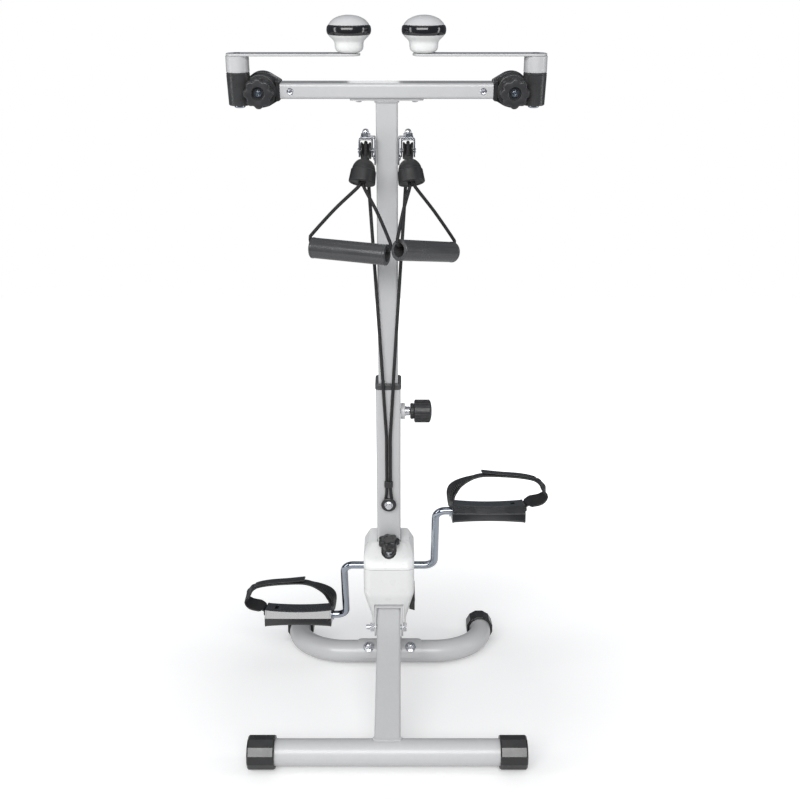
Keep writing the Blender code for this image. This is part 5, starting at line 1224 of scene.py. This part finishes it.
def elasticRoute():
    # the left half of the cord, from where it leaves its wheel to the anchor bolt, in the mast's frame
    x, v, s, pitch = (elastic[k] for k in ("pulleyX", "pulleyV", "pulleyS", "pitchR"))
    runV, lipS, r = elastic["runV"], mast["outerTop"] + mast["collar"], elastic["r"]
    down, leave = math.radians(elastic["pullDown"]), math.radians(elastic["leaveAt"])
    pull = Vector((0, -math.sin(down), -math.cos(down)))
    rise, run = lipS - s, runV - v
    meet = math.atan2(rise, run) + math.acos(pitch / math.hypot(rise, run))
    half = [Vector((-x, v + pitch * math.cos(a), s + pitch * math.sin(a)))
        for a in (leave + (meet - leave) * i / 24 for i in range(25))]
    wheelEnd, lip = half[-1], Vector((-elastic["collarX"], runV, lipS))
    half += [wheelEnd.lerp(lip, i / 40) for i in range(1, 41)]
    low = Vector((-elastic["collarX"] * 0.97, runV, mast["outerTop"]))
    half.append(low)
    narrow, loopR = r + 0.0003, elastic["boltR"] + 0.0003 + r
    clip = Vector((-narrow, runV, elastic["clipS"] + 0.006))
    touch = Vector((-narrow * 1.04, runV, 0.405))
    half += [low.lerp(touch, i / 12) for i in range(1, 13)] + [touch.lerp(clip, i / 12) for i in range(1, 13)]
    half += [Vector((-x, runV, s)) for x, s in (
        (narrow, elastic["clipS"] - 0.006), (narrow * 1.25, elastic["anchorS"] + 0.018),
        (loopR * 0.93, elastic["anchorS"] + 0.007))]
    loop = [Vector((loopR * math.cos(a), runV, elastic["anchorS"] + loopR * math.sin(a)))
        for a in (math.pi + math.pi * i / 20 for i in range(21))]
    mirrored = [Vector((-p.x, p.y, p.z)) for p in half[::-1]]
    return half + loop + mirrored, half[0], pull


def blendable(name, bm):
    obj = newObject(name, bm)
    obj.data.shade_smooth()
    obj.data.materials.append(looks["cord"])
    return obj


def buildElastic():
    route, leave, pull = elasticRoute()
    rope = tube([mastMatrix @ p for p in route], elastic["r"], 14, True)
    cordObj = blendable("elasticCord", rope)
    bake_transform(cordObj)
    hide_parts("elastic_cord")
    for side, sign in sides.items():
        ends = [leave + pull * step for step in (-0.0002, 0.003, 0.006, 0.009, 0.0115)]
        ends = [Vector((sign * -p.x, p.y, p.z)) for p in ends]
        lead = tube([mastMatrix @ p for p in ends], elastic["r"] - 2e-05, 14, True)
        leadObj = blendable(side + "CordLead", lead)
        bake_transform(leadObj)

    at = mastMatrix @ move(0, 0, elastic["anchorS"])
    inner = -elastic["runV"] + elastic["r"] + 0.0003
    boltR = elastic["boltR"]
    disc = lathe([(0, 0.0168), (boltR, 0.0168), (boltR, inner), (0.0112, inner), (0.012, inner + 0.0006),
        (0.012, inner + 0.002), (0.0108, inner + 0.003), (0, inner + 0.003)], 56, soft=0.0004)
    makePiece("anchorDisc", "black", "stand", pointing(disc, "-y"), at, node="cord_anchor")
    head = merged(hexNut(0.0092, 0.0052, inner + 0.0032), washer(0.0026, 0.0068, inner + 0.0028, inner + 0.0034))
    makePiece("anchorBolt", "bright", "stand", pointing(head, "-y"), at)
    # the small clip that holds the two strands together
    clip = squareRings([(wide, deep, 0.0027, lift) for wide, deep, lift in ((0.0128, 0.005928, -0.0052),
        (0.0136, 0.006552, -0.0044), (0.0136, 0.006552, 0), (0.0136, 0.006552, 0.0044), (0.0128, 0.005928, 0.0052))],
        6, False)
    place(clip, move(0, elastic["runV"], elastic["clipS"]))
    makePiece("cordClip", "black", "stand", clip, mastMatrix, bevel=0.0004, angle=30)
    return leave, pull


# each grip's middle, yaw and dip
handles = {"grips": {"left": ((-0.052, -0.112, 0.7292), -19, 4), "right": ((0.0545, -0.108, 0.7292), 47, 4)},
    "gripR": 0.0147, "bore": 0.0097, "length": 0.112, "cordR": 0.0024, "reach": 0.012, "splay": 8, "tip": 15,
    "exit": 0.0354}


# the stopper's profile, from the cord's side down
handleShape = {
    "bell": [(0.003, 0), (0.004, 0), (0.0046, 0.0006), (0.0057, 0.0026), (0.006, 0.0044), (0.0092, 0.0056),
        (0.0122, 0.0084), (0.0146, 0.0122), (0.0158, 0.0158), (0.0162, 0.0186), (0.017, 0.0192), (0.0174, 0.02),
        (0.0184, 0.0345), (0.0184, 0.036), (0.0176, 0.037), (0.015, 0.037), (0.0142, 0.0362), (0.005, 0.0362),
        (0.0046, 0.0352), (0, 0.0352)]}


def buildHandles(leave, pull):
    for side, sign in sides.items():
        spot = leave + pull * handles["reach"]
        top = mastMatrix @ Vector((-sign * spot.x, spot.y, spot.z))
        splay, tip = math.radians(handles["splay"]), math.radians(handles["tip"])
        axis = Vector((sign * math.tan(splay), -math.sin(tip), -math.cos(tip))).normalized()
        at = move(*top) @ facing(axis)
        bell = lathe(handleShape["bell"], 72, soft=0.0007)
        makePiece(side + "Stopper", "rubber", side + "_handle", bell, at, node=side + "_cord_stopper")
        centre, yaw, dip = handles["grips"][side]
        centre, yaw, dip = Vector(centre), math.radians(yaw), math.radians(dip)
        along = Vector((math.cos(yaw) * math.cos(dip), math.sin(yaw) * math.cos(dip), -math.sin(dip)))
        half, r, bore = handles["length"] / 2, handles["gripR"], handles["bore"]
        turn = move(*centre) @ facing(along)
        grip = lathe([(bore, -half), (r - 0.0008, -half), (r, -half + 0.0008), (r, -half + 0.003),
            (r - 0.0004, -half + 0.0034), (r - 0.0004, half - 0.0034), (r, half - 0.003), (r, half - 0.0008),
            (r - 0.0008, half), (bore, half)], 72, True, soft=0.0004)
        uv = grip.loops.layers.uv.new("run")
        for face in grip.faces:
            spots = [math.atan2(loop.vert.co.y, loop.vert.co.x) for loop in face.loops]
            for loop, spot in zip(face.loops, spots):
                spot += math.tau if max(spots) - min(spots) > math.pi and spot < 0 else 0
                loop[uv].uv = (loop.vert.co.z, spot * r)
        makePiece(side + "Grip", "grip", side + "_handle", grip, turn, node=side + "_handle_grip")
        buildHandleStrap(side, top + axis * handles["exit"], axis, centre, along)


def buildHandleStrap(side, bottom, axis, centre, along):
    half, r, bore, cordR = handles["length"] / 2, handles["gripR"], handles["bore"], handles["cordR"]
    across = (Vector((1, 0, 0)) - axis * axis.x).normalized()
    upward = (Vector((0, 0, 1)) - along * along.z).normalized()
    inside, clear = bore - cordR - 0.0009, cordR + 0.0012
    route = []
    for end in (-1, 1):
        leave = bottom + across * end * 0.0034
        mouth = centre + along * end * half
        corner = mouth + along * end * (clear - 0.0002) + upward * (r + 0.0012)
        stretch = [leave, leave + axis * 0.006, leave.lerp(corner, 0.5), corner]
        stretch += [mouth + along * end * out + upward * lift for out, lift in (
            (clear, r - 0.003), (clear - 0.0008, inside + 0.0012), (-0.001, inside - 0.0004), (-0.01, inside))]
        route += stretch if end < 0 else stretch[::-1]
    path = smoothRoute(route, 0.003)
    name = side + "HandleCord"
    rope = tube(path, cordR, 14, True)
    strapObj = makePiece(name, "cord", side + "_handle", rope, node=side + "_handle_strap", angle=60)


leaveWheel, pullWay = buildElastic()
buildHandles(leaveWheel, pullWay)
print("cords and handles built")
buildBase()
buildLeg()
buildMast()
print("base, leg and mast built")
buildDrive()
buildHousing()
print("drive and housing built")
buildTop()
buildPulleys()
print("top and pulleys built")
